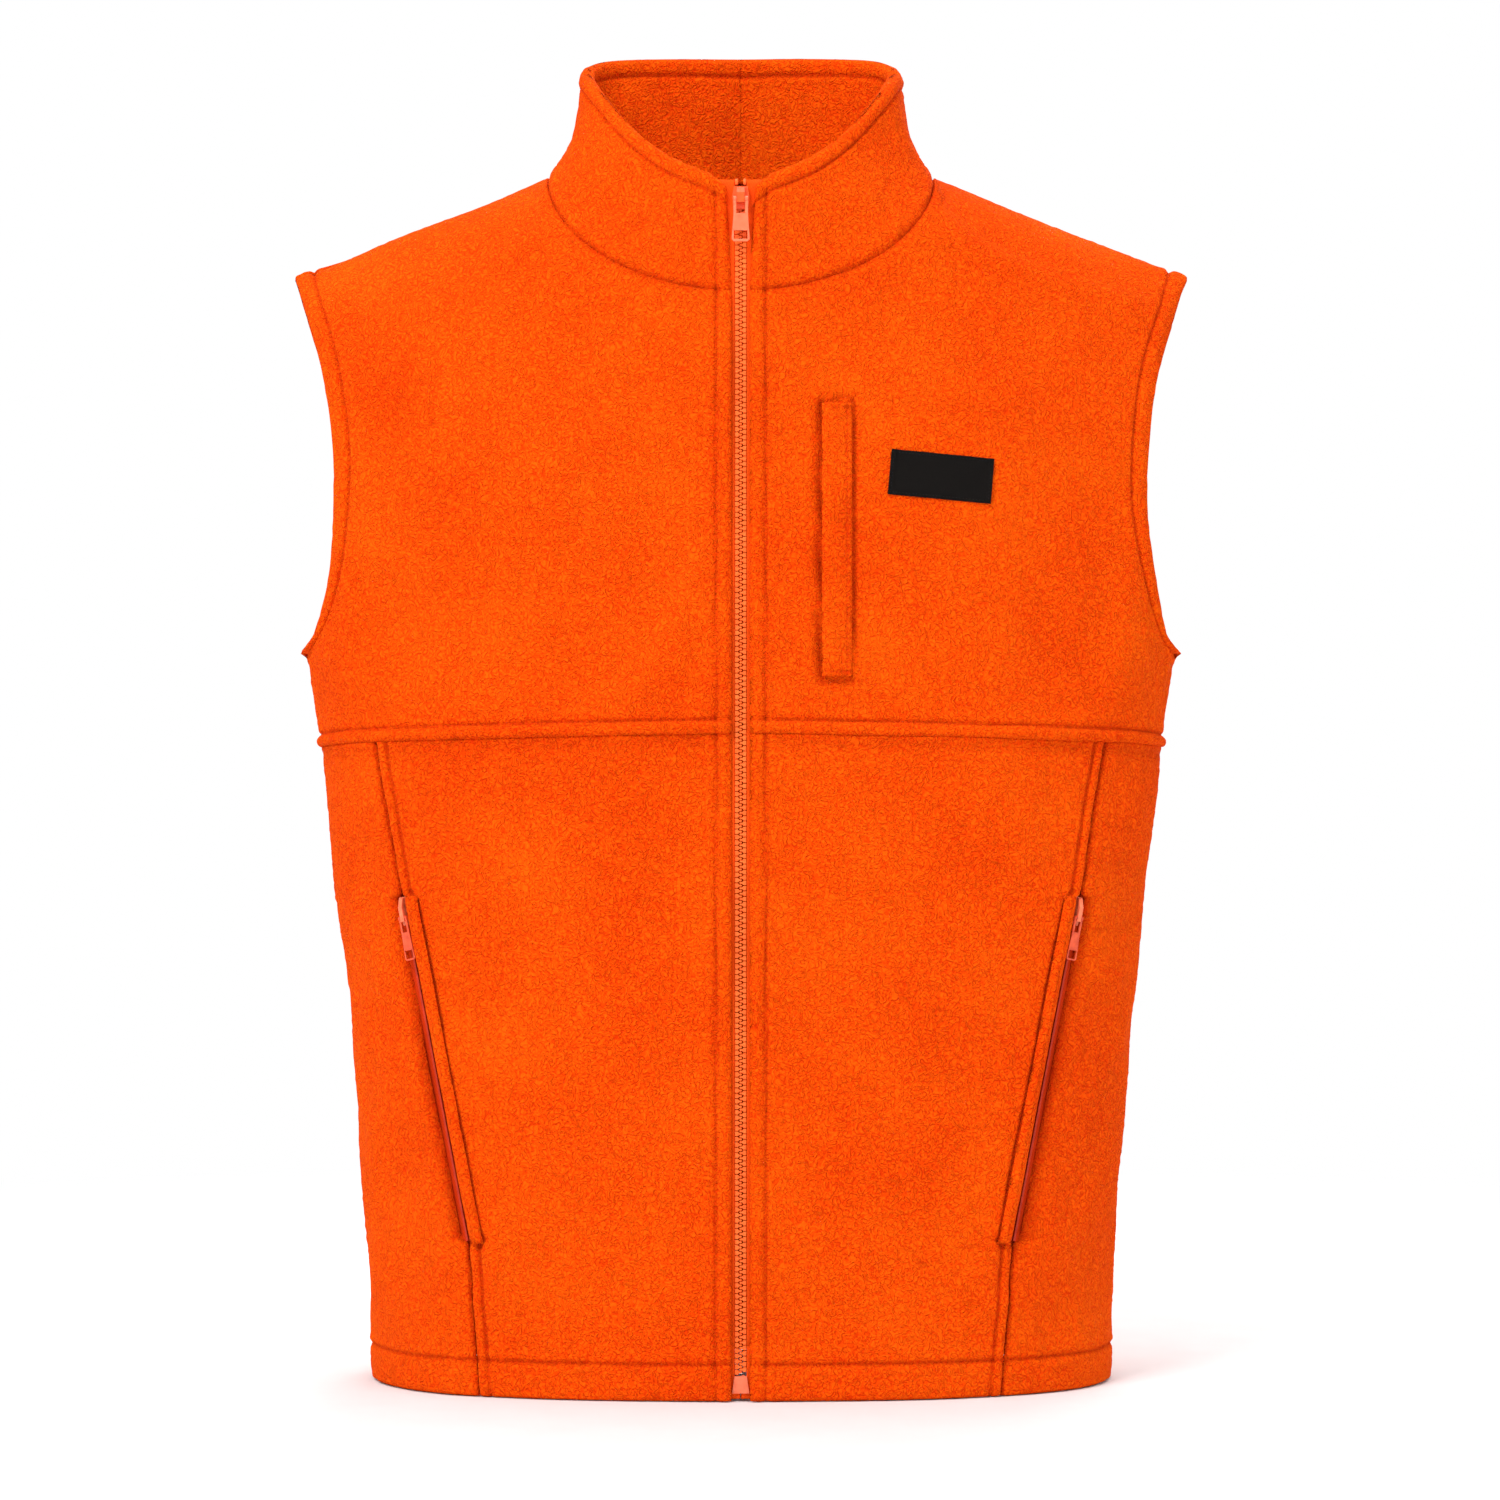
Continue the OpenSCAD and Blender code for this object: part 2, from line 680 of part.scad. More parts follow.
// ---- pocket zips, in a frame that lies on the pocket opening ----
pocket_foot = front_point(pocket_low[0], pocket_low[1]);
pocket_head = front_point(pocket_high[0], pocket_high[1]);
pocket_len = norm(pocket_head - pocket_foot);
pocket_along = unit(pocket_head - pocket_foot);
pocket_mid = [(pocket_low[0] + pocket_high[0]) / 2, (pocket_low[1] + pocket_high[1]) / 2];
pocket_side_step = front_point(pocket_mid[0] + 2, pocket_mid[1])
  - front_point(pocket_mid[0] - 2, pocket_mid[1]);
pocket_in = unit(cross(pocket_along, pocket_side_step));
pocket_across = cross(pocket_in, pocket_along);
coil_t = 1.6;
coil_gap = 1;
coil_w = 1.2;
pocket_tape_in = coil_gap / 2 + coil_w + 0.1;
pocket_tape_out = 6.2;
pocket_tape_end = 4; // how far the tape runs past each end of the opening

// +Z up the pocket, +Y into the body, the coil's middle plane at y = 0
module pocket_plane() {
  o = pocket_foot + pocket_inset * pocket_in;
  multmatrix([
    [pocket_across[0], pocket_in[0], pocket_along[0], o[0]],
    [pocket_across[1], pocket_in[1], pocket_along[1], o[1]],
    [pocket_across[2], pocket_in[2], pocket_along[2], o[2]]])
    children();
}

module left_pocket_coil_rails() {
  pocket_plane()
    for (side = [-1, 1])
      translate([side * (coil_gap + coil_w) / 2 - coil_w / 2, -coil_t / 2, 0])
        cube([coil_w, coil_t, pocket_len]);
}

module left_pocket_tape_strips() {
  pocket_plane()
    for (side = [-1, 1])
      translate([side > 0 ? pocket_tape_in : -pocket_tape_out, -tape_t / 2, -pocket_tape_end])
        cube([pocket_tape_out - pocket_tape_in, tape_t, pocket_len + 2 * pocket_tape_end]);
}

pocket_plate = 0.8;
pocket_slider_half = 3.1;
pocket_slider_z = pocket_len - pocket_slider_len;
pocket_pin = [-5.7, 4, 0.6]; // y and z from the slider's foot, radius
module left_pocket_slider_body() {
  pocket_plane()
    translate([0, 0, pocket_slider_z]) {
      slider_shell(pocket_slider_half, pocket_slider_len, coil_t, pocket_plate, 0.7);
      crown(2.4, -coil_t / 2 - slider_clear - pocket_plate, pocket_pin, 5, pocket_slider_len);
    }
}

module left_pocket_pull_plate() {
  pocket_plane()
    translate([0, pocket_pin[0], pocket_slider_z + pocket_pin[1]])
      pull(pocket_pull_w, pocket_pull_len, 1.2, pocket_pin[2], 2.9, 1.2);
}

// ---- one module for every node ----
module left_front_yoke() {
  // The chest pocket's mouth, beside the inner edge of its welt
  slit = 2.2;
  beside = 0.4;
  end = 2;
  through = 30;
  color(orange)
    difference() {
      left_front_yoke_cloth();
      translate([chest_x - slit - beside, -front_depth_hem, chest_z[0] + end])
        cube([slit, through, chest_z[1] - chest_z[0] - 2 * end]);
    }
}
module right_front_yoke() {
  color(orange) on_right() left_front_yoke_cloth();
}
module left_lower_front() {
  color(orange) left_lower_front_cloth();
}
module right_lower_front() {
  color(orange) on_right() left_lower_front_cloth();
}
module left_side_front() {
  color(orange) left_side_front_cloth();
}
module right_side_front() {
  color(orange) on_right() left_side_front_cloth();
}
module left_collar() {
  color(orange) left_collar_layer(0, fleece, 0, 1, collar_end);
}
module right_collar() {
  color(orange) on_right() left_collar_layer(0, fleece, 0, 1, collar_end);
}
module left_collar_lining_cloth() {
  margin = 0.03; // left free at both edges, as a share of the collar's height
  left_collar_layer(-facing_inset, lining_t, margin, 1 - margin, lining_end);
}
module left_collar_lining() {
  color(deep_orange) left_collar_lining_cloth();
}
module right_collar_lining() {
  color(deep_orange) on_right() left_collar_lining_cloth();
}
module left_armhole_facing() {
  color(deep_orange) left_armhole_facing_cloth();
}
module right_armhole_facing() {
  color(deep_orange) on_right() left_armhole_facing_cloth();
}
module left_front_facing() {
  color(deep_orange) left_front_facing_cloth();
}
module right_front_facing() {
  color(deep_orange) on_right() left_front_facing_cloth();
}
module left_pocket_welt() {
  color(orange) left_pocket_welt_cloth();
}
module right_pocket_welt() {
  color(orange) on_right() left_pocket_welt_cloth();
}
module left_pocket_bag() {
  color(deep_orange) left_pocket_bag_cloth();
}
module right_pocket_bag() {
  color(deep_orange) on_right() left_pocket_bag_cloth();
}
module left_zip_tape() {
  color(deep_orange) zip_plane() tape_strip(zip_split_z + 0.2, collar_front_z);
}
module right_zip_tape() {
  color(deep_orange) zip_plane() on_right() tape_strip(zip_split_z + 0.2, collar_front_z);
}
module left_zip_tape_lower() {
  color(deep_orange) zip_plane() lower_tape();
}
module right_zip_tape_lower() {
  color(deep_orange) zip_plane() on_right() lower_tape();
}
module left_zip_teeth() {
  color(orange) zip_plane() teeth(upper_start + half_pitch, teeth_end);
}
module right_zip_teeth() {
  color(orange) zip_plane() on_right() teeth(upper_start, teeth_end);
}
module left_zip_teeth_lower() {
  color(orange) zip_plane() teeth(teeth_start + half_pitch, upper_start);
}
module right_zip_teeth_lower() {
  color(orange) zip_plane() on_right() teeth(teeth_start, upper_start);
}
module left_top_stop() {
  color(orange) zip_plane() top_stop();
}
module right_top_stop() {
  color(orange) zip_plane() on_right() top_stop();
}
module left_pocket_tape() {
  color(deep_orange) left_pocket_tape_strips();
}
module right_pocket_tape() {
  color(deep_orange) on_right() left_pocket_tape_strips();
}
module left_pocket_coil() {
  color(deep_orange) left_pocket_coil_rails();
}
module right_pocket_coil() {
  color(deep_orange) on_right() left_pocket_coil_rails();
}
module left_pocket_slider() {
  color(salmon) left_pocket_slider_body();
}
module right_pocket_slider() {
  color(salmon) on_right() left_pocket_slider_body();
}
module left_pocket_pull() {
  color(salmon) left_pocket_pull_plate();
}
module right_pocket_pull() {
  color(salmon) on_right() left_pocket_pull_plate();
}

right_front_yoke();
left_front_yoke();
right_lower_front();
left_lower_front();
right_side_front();
left_side_front();
back_yoke();
back_lower();
right_collar();
left_collar();
right_collar_lining();
left_collar_lining();
right_armhole_facing();
left_armhole_facing();
hem_facing();
right_front_facing();
left_front_facing();
chest_pocket_welt();
chest_pocket_bag();
right_pocket_welt();
left_pocket_welt();
right_pocket_bag();
left_pocket_bag();
label_patch();
hanger_loop();
neck_tape();
right_zip_tape();
left_zip_tape();
right_zip_tape_lower();
left_zip_tape_lower();
right_zip_teeth();
left_zip_teeth();
right_zip_teeth_lower();
left_zip_teeth_lower();
right_top_stop();
left_top_stop();
insertion_pin();
retainer_box();
main_slider();
main_slider_crown();
main_pull();
right_pocket_tape();
left_pocket_tape();
right_pocket_coil();
left_pocket_coil();
right_pocket_slider();
left_pocket_slider();
right_pocket_pull();
left_pocket_pull();
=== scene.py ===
"""Looks for the blaze orange fleece vest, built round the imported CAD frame.

Millimetres inside the functions, metres in the meshes. The front faces -Y and +X is the wearer's left.
"""

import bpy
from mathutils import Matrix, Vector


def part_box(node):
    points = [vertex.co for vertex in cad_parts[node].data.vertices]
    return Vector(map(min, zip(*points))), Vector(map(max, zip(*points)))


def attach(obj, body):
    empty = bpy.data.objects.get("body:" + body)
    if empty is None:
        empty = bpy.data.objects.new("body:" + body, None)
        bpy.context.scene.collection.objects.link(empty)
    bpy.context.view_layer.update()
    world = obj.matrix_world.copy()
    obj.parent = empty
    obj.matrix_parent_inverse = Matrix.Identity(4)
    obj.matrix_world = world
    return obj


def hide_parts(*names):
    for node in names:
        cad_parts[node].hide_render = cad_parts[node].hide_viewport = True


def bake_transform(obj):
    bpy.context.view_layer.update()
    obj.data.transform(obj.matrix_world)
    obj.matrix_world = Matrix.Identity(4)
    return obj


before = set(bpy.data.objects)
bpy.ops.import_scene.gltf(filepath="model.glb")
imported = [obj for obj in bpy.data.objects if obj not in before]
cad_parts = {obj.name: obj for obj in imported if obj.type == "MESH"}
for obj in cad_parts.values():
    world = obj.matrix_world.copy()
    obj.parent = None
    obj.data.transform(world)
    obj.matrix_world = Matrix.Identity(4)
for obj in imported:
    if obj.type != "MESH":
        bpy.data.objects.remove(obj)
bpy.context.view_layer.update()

import math

import bpy
import numpy as np
from mathutils import Vector

MM = 0.001

# ---- driving sizes, the same as the CAD's ----
HEM_HALF, SIDE_FLARE, TIP_FLARE, ARMPIT_Z = 213.0, 37.0, 14.0, 416.0
DEPTH_HEM, DEPTH_TOP, DEPTH_BACK, BLADE, BLADE_Z = 116.0, 92.0, 104.0, 12.0, 500.0
POWER, FLEECE = 2.5, 3.0
NECK_HALF, NECK_Z, TIP_HALF, TIP_Z, SHOULDER_Z = 111.0, 692.0, 259.0, 634.0, 470.0
ARM_CUT, FRONT_CUT, NECK_DROP, NECK_RISE = 19.0, 6.0, 73.0, 10.0
COLLAR_HALF, COLLAR_FRONT, COLLAR_SIDE, COLLAR_BACK, COLLAR_BACK_Y = 92.0, 683.0, 750.0, 767.0, 50.0
YOKE_Z, YOKE_DROP = 370.0, 8.0
POCKET_LOW, POCKET_HIGH, POCKET_GAP, WELT_W = (154.0, 86.0), (192.0, 278.0), 7.0, 6.5
LEAN_BELOW, LEAN_ABOVE = 0.09, 0.17
CHEST_X, CHEST_W, CHEST_Z = 46.0, 16.0, (401.0, 556.0)
LABEL_AT, LABEL_SIZE, LABEL_TURN = (112.0, 514.0), (58.0, 25.5), -5.0
FRONT_EDGE, FACING_EDGE, FACING_TOP, HEM_FACING = 5.2, 32.0, 614.0, 22.0
BAG_EDGE, BAG_LOW, BAG_HIGH, BAG_PAST = 60.0, 52.0, 300.0, 9.0
CHAIN_INSET, FACING_INSET, TAPE_INSET = 4.0, 5.1, 6.0
TOOTH_PITCH, TOOTH_H, TOOTH_T, TOOTH_OUT, TOOTH_IN = 3.0, 1.2, 2.4, 3.2, 0.7
TAPE_HALF, TAPE_T, SPLIT_Z, SLIDER_Z, SLIDER_LEN = 13.0, 0.7, 30.0, 664.0, 13.0
TEETH_START, TEETH_END, BOX_FOOT = 15.0, SLIDER_Z + 4, 4.0
UPPER_START = TEETH_START + TOOTH_PITCH * math.ceil((SPLIT_Z - TEETH_START) / TOOTH_PITCH)
ZIP_TILT = math.atan((DEPTH_HEM - DEPTH_TOP) / COLLAR_FRONT)
SIDES = {1: "left", -1: "right"}

# ---- edges: how far in from each kind of edge its line of stitches lies, and the groove it makes ----
ZIP_ROLL, YOKE_ROLL, ARM_ROLL, HEM_ROLL, COLLAR_ROLL, POCKET_ROLL = 8.6, 8.0, 12.0, 20.0, 10.5, 6.8
WELT_ROLL, LABEL_ROLL, GROOVE = 2.6, 1.6, 1.25
# a lower panel ends this far under the yoke's rolled edge
TUCK = 6.0
# shares of a yoke's outer edge below the armhole, and of its top edge along the neck
ARMPIT_V, NECK_U = 0.22, 0.5
# the cloth round the chest pocket and the label, which lies flat: middle, half width and half height
CALM_X, CALM_HALF, CALM_TALL = 93.0, 52.0, 80.0

# ---- mesh fineness, cloth simulation and stitch sizes ----
FINE, COARSE = ((0.95, 3.0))
DRAPE_FRAMES, DRAPE_STEP, DRAPE_LIMIT, DRAPE_FADE = 30, 8.0, 2.4, 45.0
STITCH_PITCH, STITCH_LEN, STITCH_R, STITCH_SINK = 3.1, 2.4, 0.33, 0.15
# rings of one stitch: share of its length, share of its radius
STITCH_RINGS = np.array([[-0.5, 0.30], [-0.36, 0.85], [0.0, 1.0], [0.36, 0.85], [0.5, 0.30]])
STITCH_SIDES = 6


# ======== the worn shape ========
def half_width(z):
    low = HEM_HALF + SIDE_FLARE * (np.maximum(z, 0) / ARMPIT_Z) ** 1.5
    high = HEM_HALF + SIDE_FLARE + TIP_FLARE * (z - ARMPIT_Z) / (TIP_Z - ARMPIT_Z)
    return np.where(z <= ARMPIT_Z, low, high)


def shoulder_top(x):
    return NECK_Z + (NECK_Z - TIP_Z) / (TIP_HALF - NECK_HALF) * (NECK_HALF - np.abs(x))


def round_over(x, z):
    t = np.maximum(0, z - SHOULDER_Z) / (shoulder_top(x) - SHOULDER_Z)
    return np.sqrt(np.maximum(0, 1 - t * t))


def section(x, z):
    return np.maximum(0, 1 - (np.abs(x) / half_width(z)) ** POWER) ** (1 / POWER)


def stack(x, y, z):
    x, y, z = np.broadcast_arrays(x, y, z)
    return np.stack([x, y, z], -1).astype(float)


def front_point(x, z):
    depth = DEPTH_HEM + (DEPTH_TOP - DEPTH_HEM) * z / COLLAR_FRONT
    return stack(x, -depth / round_over(0, z) * section(x, z) * round_over(x, z), z)


def back_point(x, z):
    depth = DEPTH_BACK + BLADE * np.sin(np.pi / 2 * np.minimum(1, z / BLADE_Z))
    return stack(x, depth * section(x, z) * round_over(x, z), z)


def section_angle(x, z):
    return np.arcsin(np.minimum(1, (np.abs(x) / half_width(z)) ** (POWER / 2)))


def section_x(angle, z):
    return half_width(z) * np.maximum(0, np.sin(angle)) ** (2 / POWER)


def armhole_x(t):
    edge = HEM_HALF + SIDE_FLARE
    return edge + (TIP_HALF - edge) * t - ARM_CUT * np.sin(np.pi * t**0.75)


def neck_z(angle):
    c = np.cos(angle)
    return np.where(angle <= np.pi / 2, NECK_Z - NECK_DROP * c, NECK_Z + NECK_RISE * c * c)


def neck_point(angle):
    x, z = NECK_HALF * np.sin(angle), neck_z(angle)
    return np.where((angle <= np.pi / 2)[..., None], front_point(x, z), back_point(x, z))


def pocket_seam(z):
    """The line of the hand pocket, carried on down to the hem and up to the yoke."""
    slope = (POCKET_HIGH[0] - POCKET_LOW[0]) / (POCKET_HIGH[1] - POCKET_LOW[1])
    middle = POCKET_LOW[0] + slope * (z - POCKET_LOW[1])
    below = POCKET_LOW[0] - LEAN_BELOW * (POCKET_LOW[1] - z)
    above = POCKET_HIGH[0] + LEAN_ABOVE * (z - POCKET_HIGH[1])
    return np.where(z < POCKET_LOW[1], below, np.where(z < POCKET_HIGH[1], middle, above))


def smooth(x, low, high):
    t = np.clip((x - low) / (high - low), 0, 1)
    return t * t * (3 - 2 * t)


# ======== grids of cloth ========
def spaced(length, near=(20.0, 20.0), fine=None):
    """Shares of a length, closer together near its two ends."""
    fine = fine or FINE
    start = np.arange(0, near[0], fine)
    stop = length - np.arange(0, near[1], fine)[::-1]
    count = max(2, int((stop[0] - start[-1]) / COARSE))
    return np.concatenate([start, np.linspace(start[-1], stop[0], count + 1)[1:-1], stop]) / length


def finer_between(shares, low, high, step):
    outside = shares[(shares < low) | (shares > high)]
    return np.unique(np.concatenate([outside, np.arange(low, high, step)]))


def unit(vectors):
    return vectors / np.maximum(np.linalg.norm(vectors, axis=-1, keepdims=True), 1e-9)


def grid_normals(p, ring=False):
    """Unit normals of a grid of points; in a ring the last column is next to the first."""
    if ring:
        return grid_normals(np.concatenate([p[-1:], p, p[:1]]))[1:-1]
    return unit(np.cross(np.gradient(p, axis=0), np.gradient(p, axis=1)))


def edge_distances(p):
    """Distance in mm from each point to the u=0, u=1, v=0 and v=1 edges, along the cloth."""
    steps_u = np.linalg.norm(np.diff(p, axis=0), axis=-1)
    steps_v = np.linalg.norm(np.diff(p, axis=1), axis=-1)
    su = np.concatenate([np.zeros((1, p.shape[1])), np.cumsum(steps_u, axis=0)])
    sv = np.concatenate([np.zeros((p.shape[0], 1)), np.cumsum(steps_v, axis=1)], axis=1)
    return su, su[-1:] - su, sv, sv[:, -1:] - sv


def bump(d, at, height, width):
    return height * np.exp(-(((d - at) / width) ** 2))


def roll(d, width, height):
    """A puffed strip `width` wide along an edge, closed off by a stitched groove."""
    puff = height * np.sin(np.pi * np.clip(d / width, 0, 1)) ** 0.7
    return puff + bump(d, width, -GROOVE, GROOVE) + bump(d, width + 3.6, 0.3, 2.4)


def waves(p, size, seed):
    """Smooth wandering values in -1..1 with features of about `size` mm."""
    rng = np.random.default_rng(seed)
    total = np.zeros(p.shape[:-1])
    for _ in range(9):
        k = rng.normal(size=3)
        k *= 2 * np.pi / size / np.linalg.norm(k) * rng.uniform(0.6, 1.3)
        total += np.sin(p @ k + rng.uniform(0, 2 * np.pi))
    return total / 3.2


def make_mesh(name, points, faces, painted_groove_shade=None):
    """A smooth-shaded mesh from points in mm and a list of face arrays; an optional point layer holds
    painted shade for stitched hollows.
    """
    mesh = bpy.data.meshes.new(name)
    places = (points * MM).astype(np.float32).ravel()
    mesh.vertices.add(len(points))
    mesh.vertices.foreach_set("co", places)
    loops = np.concatenate([f.ravel() for f in faces])
    sizes = np.concatenate([np.full(len(f), f.shape[1]) for f in faces])
    starts = np.concatenate([[0], np.cumsum(sizes)[:-1]])
    mesh.loops.add(len(loops))
    mesh.loops.foreach_set("vertex_index", loops.astype(np.int32))
    mesh.polygons.add(len(sizes))
    mesh.polygons.foreach_set("loop_start", starts.astype(np.int32))
    mesh.polygons.foreach_set("use_smooth", np.ones(len(sizes), bool))
    mesh.update(calc_edges=True)
    mesh.attributes.new("rest_co", "FLOAT_VECTOR", "POINT").data.foreach_set("vector", places)
    # painted shade: a point layer that darkens the fleece's colour in stitched grooves
    if painted_groove_shade is not None:
        hollows = mesh.attributes.new("painted_groove_shade", "FLOAT", "POINT")
        hollows.data.foreach_set("value", painted_groove_shade.astype(np.float32).ravel())
    obj = bpy.data.objects.new(name, mesh)
    bpy.context.scene.collection.objects.link(obj)
    return obj


def mirrored(faces, side):
    """Faces turned over for the wearer's right (side -1), where x changes its sign."""
    return [f[:, ::-1] for f in faces] if side < 0 else faces


def grid_faces(nu, nv, flip=False, ring=False):
    i, j = np.meshgrid(np.arange(nu if ring else nu - 1), np.arange(nv - 1), indexing="ij")
    k = (i + 1) % nu
    quads = np.stack([i * nv + j, k * nv + j, k * nv + j + 1, i * nv + j + 1], -1).reshape(-1, 4)
    return quads[:, ::-1] if flip else quads


def sheet_faces(nu, nv, ring=False):
    """Faces of a closed sheet: outer grid, inner grid and the rims between them."""
    count, last, end = nu * nv, nv - 1, (nu - 1) * nv
    i = np.arange(nu if ring else nu - 1) * nv
    k = (i + nv) % count
    rims = [np.stack([i + count, k + count, k, i], -1),
            np.stack([i + last, k + last, k + last + count, i + last + count], -1)]
    if not ring:
        j = np.arange(nv - 1)
        rims += [np.stack([j, j + 1, j + 1 + count, j + count], -1),
                 np.stack([end + j + count, end + j + 1 + count, end + j + 1, end + j], -1)]
    return [grid_faces(nu, nv, ring=ring), grid_faces(nu, nv, True, ring) + count] + rims


def tube_faces(rings, sides):
    """Quads between rings of `sides` points, and the polygons that close the first and the last ring."""
    i, j = np.meshgrid(np.arange(rings - 1), np.arange(sides), indexing="ij")
    k = (j + 1) % sides
    quads = np.stack([i * sides + j, i * sides + k, (i + 1) * sides + k, (i + 1) * sides + j], -1)
    caps = np.array([np.arange(sides)[::-1], (rings - 1) * sides + np.arange(sides)])
    return [quads.reshape(-1, 4), caps]


def repeated(faces, copies, size):
    """The faces of one shape with `size` points, for a number of copies of it."""
    step = (np.arange(copies) * size)[:, None, None]
    return [(part + step).reshape(-1, part.shape[1]) for part in faces]


def sheet(name, base, relief, thick, side, outer=0.0, rims=(1, 1, 1, 1), pile=0.22, inner_relief=None,
          hang=0.0, centred=False, ring=False):
    """A thick sheet of cloth over a grid of points, mirrored for the wearer's right (side -1).

    relief is the stitched shape and hang the way the cloth falls, both in mm along the normals.
    A centred sheet ends on the middle plane, where it meets its mirror image. A ring goes all the
    way round and has no stitched hollows, so it gets no painted shade.
    """
    d = edge_distances(base)
    near = np.min([dist if on else np.full_like(dist, 99.0) for dist, on in zip(d, rims)], axis=0)
    r = thick / 2
    turn = r - np.sqrt(np.maximum(0, r * r - np.maximum(0, r - near) ** 2))
    n = grid_normals(base, ring)
    if centred:
        n[-1, :, 0] = 0
    nap = pile * waves(base, 4.6, 5) + 0.5 * pile * waves(base, 11, 6)
    inner = relief if inner_relief is None else inner_relief
    top = base + n * (outer + relief + hang + nap - turn)[..., None]
    low = base + n * (outer - thick + turn + inner + hang)[..., None]
    points = np.concatenate([top.reshape(-1, 3), low.reshape(-1, 3)]) * [side, 1, 1]
    # painted shade: how deep each point lies in a stitched groove, on the outer face and, for a lining, on
    # the inner face; the fleece darkens its colour there
    hollow = np.clip(-relief / GROOVE, 0, 1)
    inside = np.zeros_like(hollow) if inner_relief is None else np.clip(inner_relief / GROOVE, 0, 1)
    painted_groove_shade = None if ring else np.concatenate([hollow.ravel(), inside.ravel()])
    faces = mirrored(sheet_faces(*base.shape[:2], ring), side)
    return make_mesh(name, points, faces, painted_groove_shade), top, n


# ======== riding, materials ==================
def opens_with(obj):
    """Bakes the piece's place into its mesh."""
    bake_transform(obj)


def finish_piece(obj, material, replaced, side=0):
    """Material and the CAD nodes it replaces; a piece with a side gets its place baked in, any other rides
    on the torso.
    """
    obj.data.materials.append(material)
    if side:
        opens_with(obj)
    else:
        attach(obj, "torso")
    for node in replaced:
        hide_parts(node)
    return obj


class Nodes:
    """Short calls for building a node tree."""

    def __init__(self, name):
        self.material = bpy.data.materials.new(name)
        self.material.use_nodes = True
        self.tree = self.material.node_tree
        self.shader = self.tree.nodes["Principled BSDF"]

    def add(self, kind, **values):
        node = self.tree.nodes.new(kind)
        for key, value in values.items():
            if hasattr(node, key):
                setattr(node, key, value)
            else:
                node.inputs[key.replace("_", " ")].default_value = value
        return node

    def link(self, a, b):
        self.tree.links.new(a, b)

    def math(self, operation, a, b=0.0):
        node = self.add("ShaderNodeMath", operation=operation)
        for index, value in enumerate((a, b)):
            if isinstance(value, (int, float)):
                node.inputs[index].default_value = value
            else:
                self.link(value, node.inputs[index])
        return node.outputs[0]

    def place(self, attribute=True):
        if attribute:
            return self.add("ShaderNodeAttribute", attribute_name="rest_co").outputs["Vector"]
        return self.add("ShaderNodeTexCoord").outputs["Object"]

    def noise(self, place, scale, detail=2.0, distortion=0.0):
        node = self.add("ShaderNodeTexNoise", Scale=scale, Detail=detail, Distortion=distortion)
        self.link(place, node.inputs["Vector"])
        return node.outputs[0]

    def ramp(self, value, stops):
        node = self.add("ShaderNodeValToRGB")
        ramp = node.color_ramp
        while len(ramp.elements) < len(stops):
            ramp.elements.new(0.5)
        for element, (at, color) in zip(ramp.elements, stops):
            element.position = at
            element.color = (*color, 1)
        self.link(value, node.inputs[0])
        return node.outputs[0]

    def mix(self, share, a, b, blend="MIX"):
        node = self.add("ShaderNodeMix", data_type="RGBA", blend_type=blend)
        for socket, value in ((node.inputs[0], share), (node.inputs[6], a), (node.inputs[7], b)):
            if isinstance(value, tuple):
                socket.default_value = (*value, 1)
            elif isinstance(value, (int, float)):
                socket.default_value = value
            else:
                self.link(value, socket)
        return node.outputs[2]

    def bump(self, height, strength, distance):
        node = self.add("ShaderNodeBump", Strength=strength, Distance=distance)
        self.link(height, node.inputs["Height"])
        self.link(node.outputs[0], self.shader.inputs["Normal"])

    def set(self, **values):
        for key, value in values.items():
            socket = self.shader.inputs[key.replace("_", " ")]
            if isinstance(value, (int, float)):
                socket.default_value = value
            elif isinstance(value, tuple):
                socket.default_value = (*value, 1) if len(value) == 3 else value
            else:
                self.link(value, socket)


def fleece_material(name, deep, mid, light, strength=1.0):
    """Matte pile: worm-like tufts with dark partings, lint, slow colour drift, and painted shade darkening
    the stitched hollows.
    """
    m = Nodes(name)
    place = m.place()

    def tufts(scale):
        away = m.math("ABSOLUTE", m.math("SUBTRACT", m.noise(place, scale, 0.0, 0.25), 0.5))
        return m.math("MINIMUM", m.math("MULTIPLY", away, 9.0), 1.0)

    worms = m.math("SINE", m.math("MULTIPLY", m.noise(place, 150, 1.0, 0.35), 60.0))
    worms = m.math("ADD", m.math("MULTIPLY", worms, 0.5), 0.5)
    pile = m.math("ADD", m.math("MULTIPLY", worms, 0.5), m.math("MULTIPLY", tufts(400), 0.5))
    lint = m.noise(place, 1500, 2.0)
    drift = m.noise(place, 13, 2.0)
    tone = m.math("ADD", m.math("MULTIPLY", pile, 0.40),
                  m.math("ADD", m.math("MULTIPLY", drift, 0.36), m.math("MULTIPLY", lint, 0.24)))
    color = m.ramp(tone, [(0.28, deep), (0.50, mid), (0.72, light)])
    # painted shade: the colour darkens towards a deep orange in the stitched grooves, where shade falls
    painted_groove_shade = m.add("ShaderNodeAttribute", attribute_name="painted_groove_shade").outputs["Fac"]
    color = m.mix(m.math("MULTIPLY", painted_groove_shade, 0.62), color, (0.40, 0.012, 0.0006))
    height = m.math("ADD", pile, m.math("MULTIPLY", lint, 0.35))
    m.bump(height, 0.8 * strength, 0.0009)
    m.set(Base_Color=color, Roughness=1.0, Specular_IOR_Level=0.02, Sheen_Weight=0.18,
          Sheen_Roughness=0.6, Sheen_Tint=(1.0, 0.20, 0.02))
    return m.material


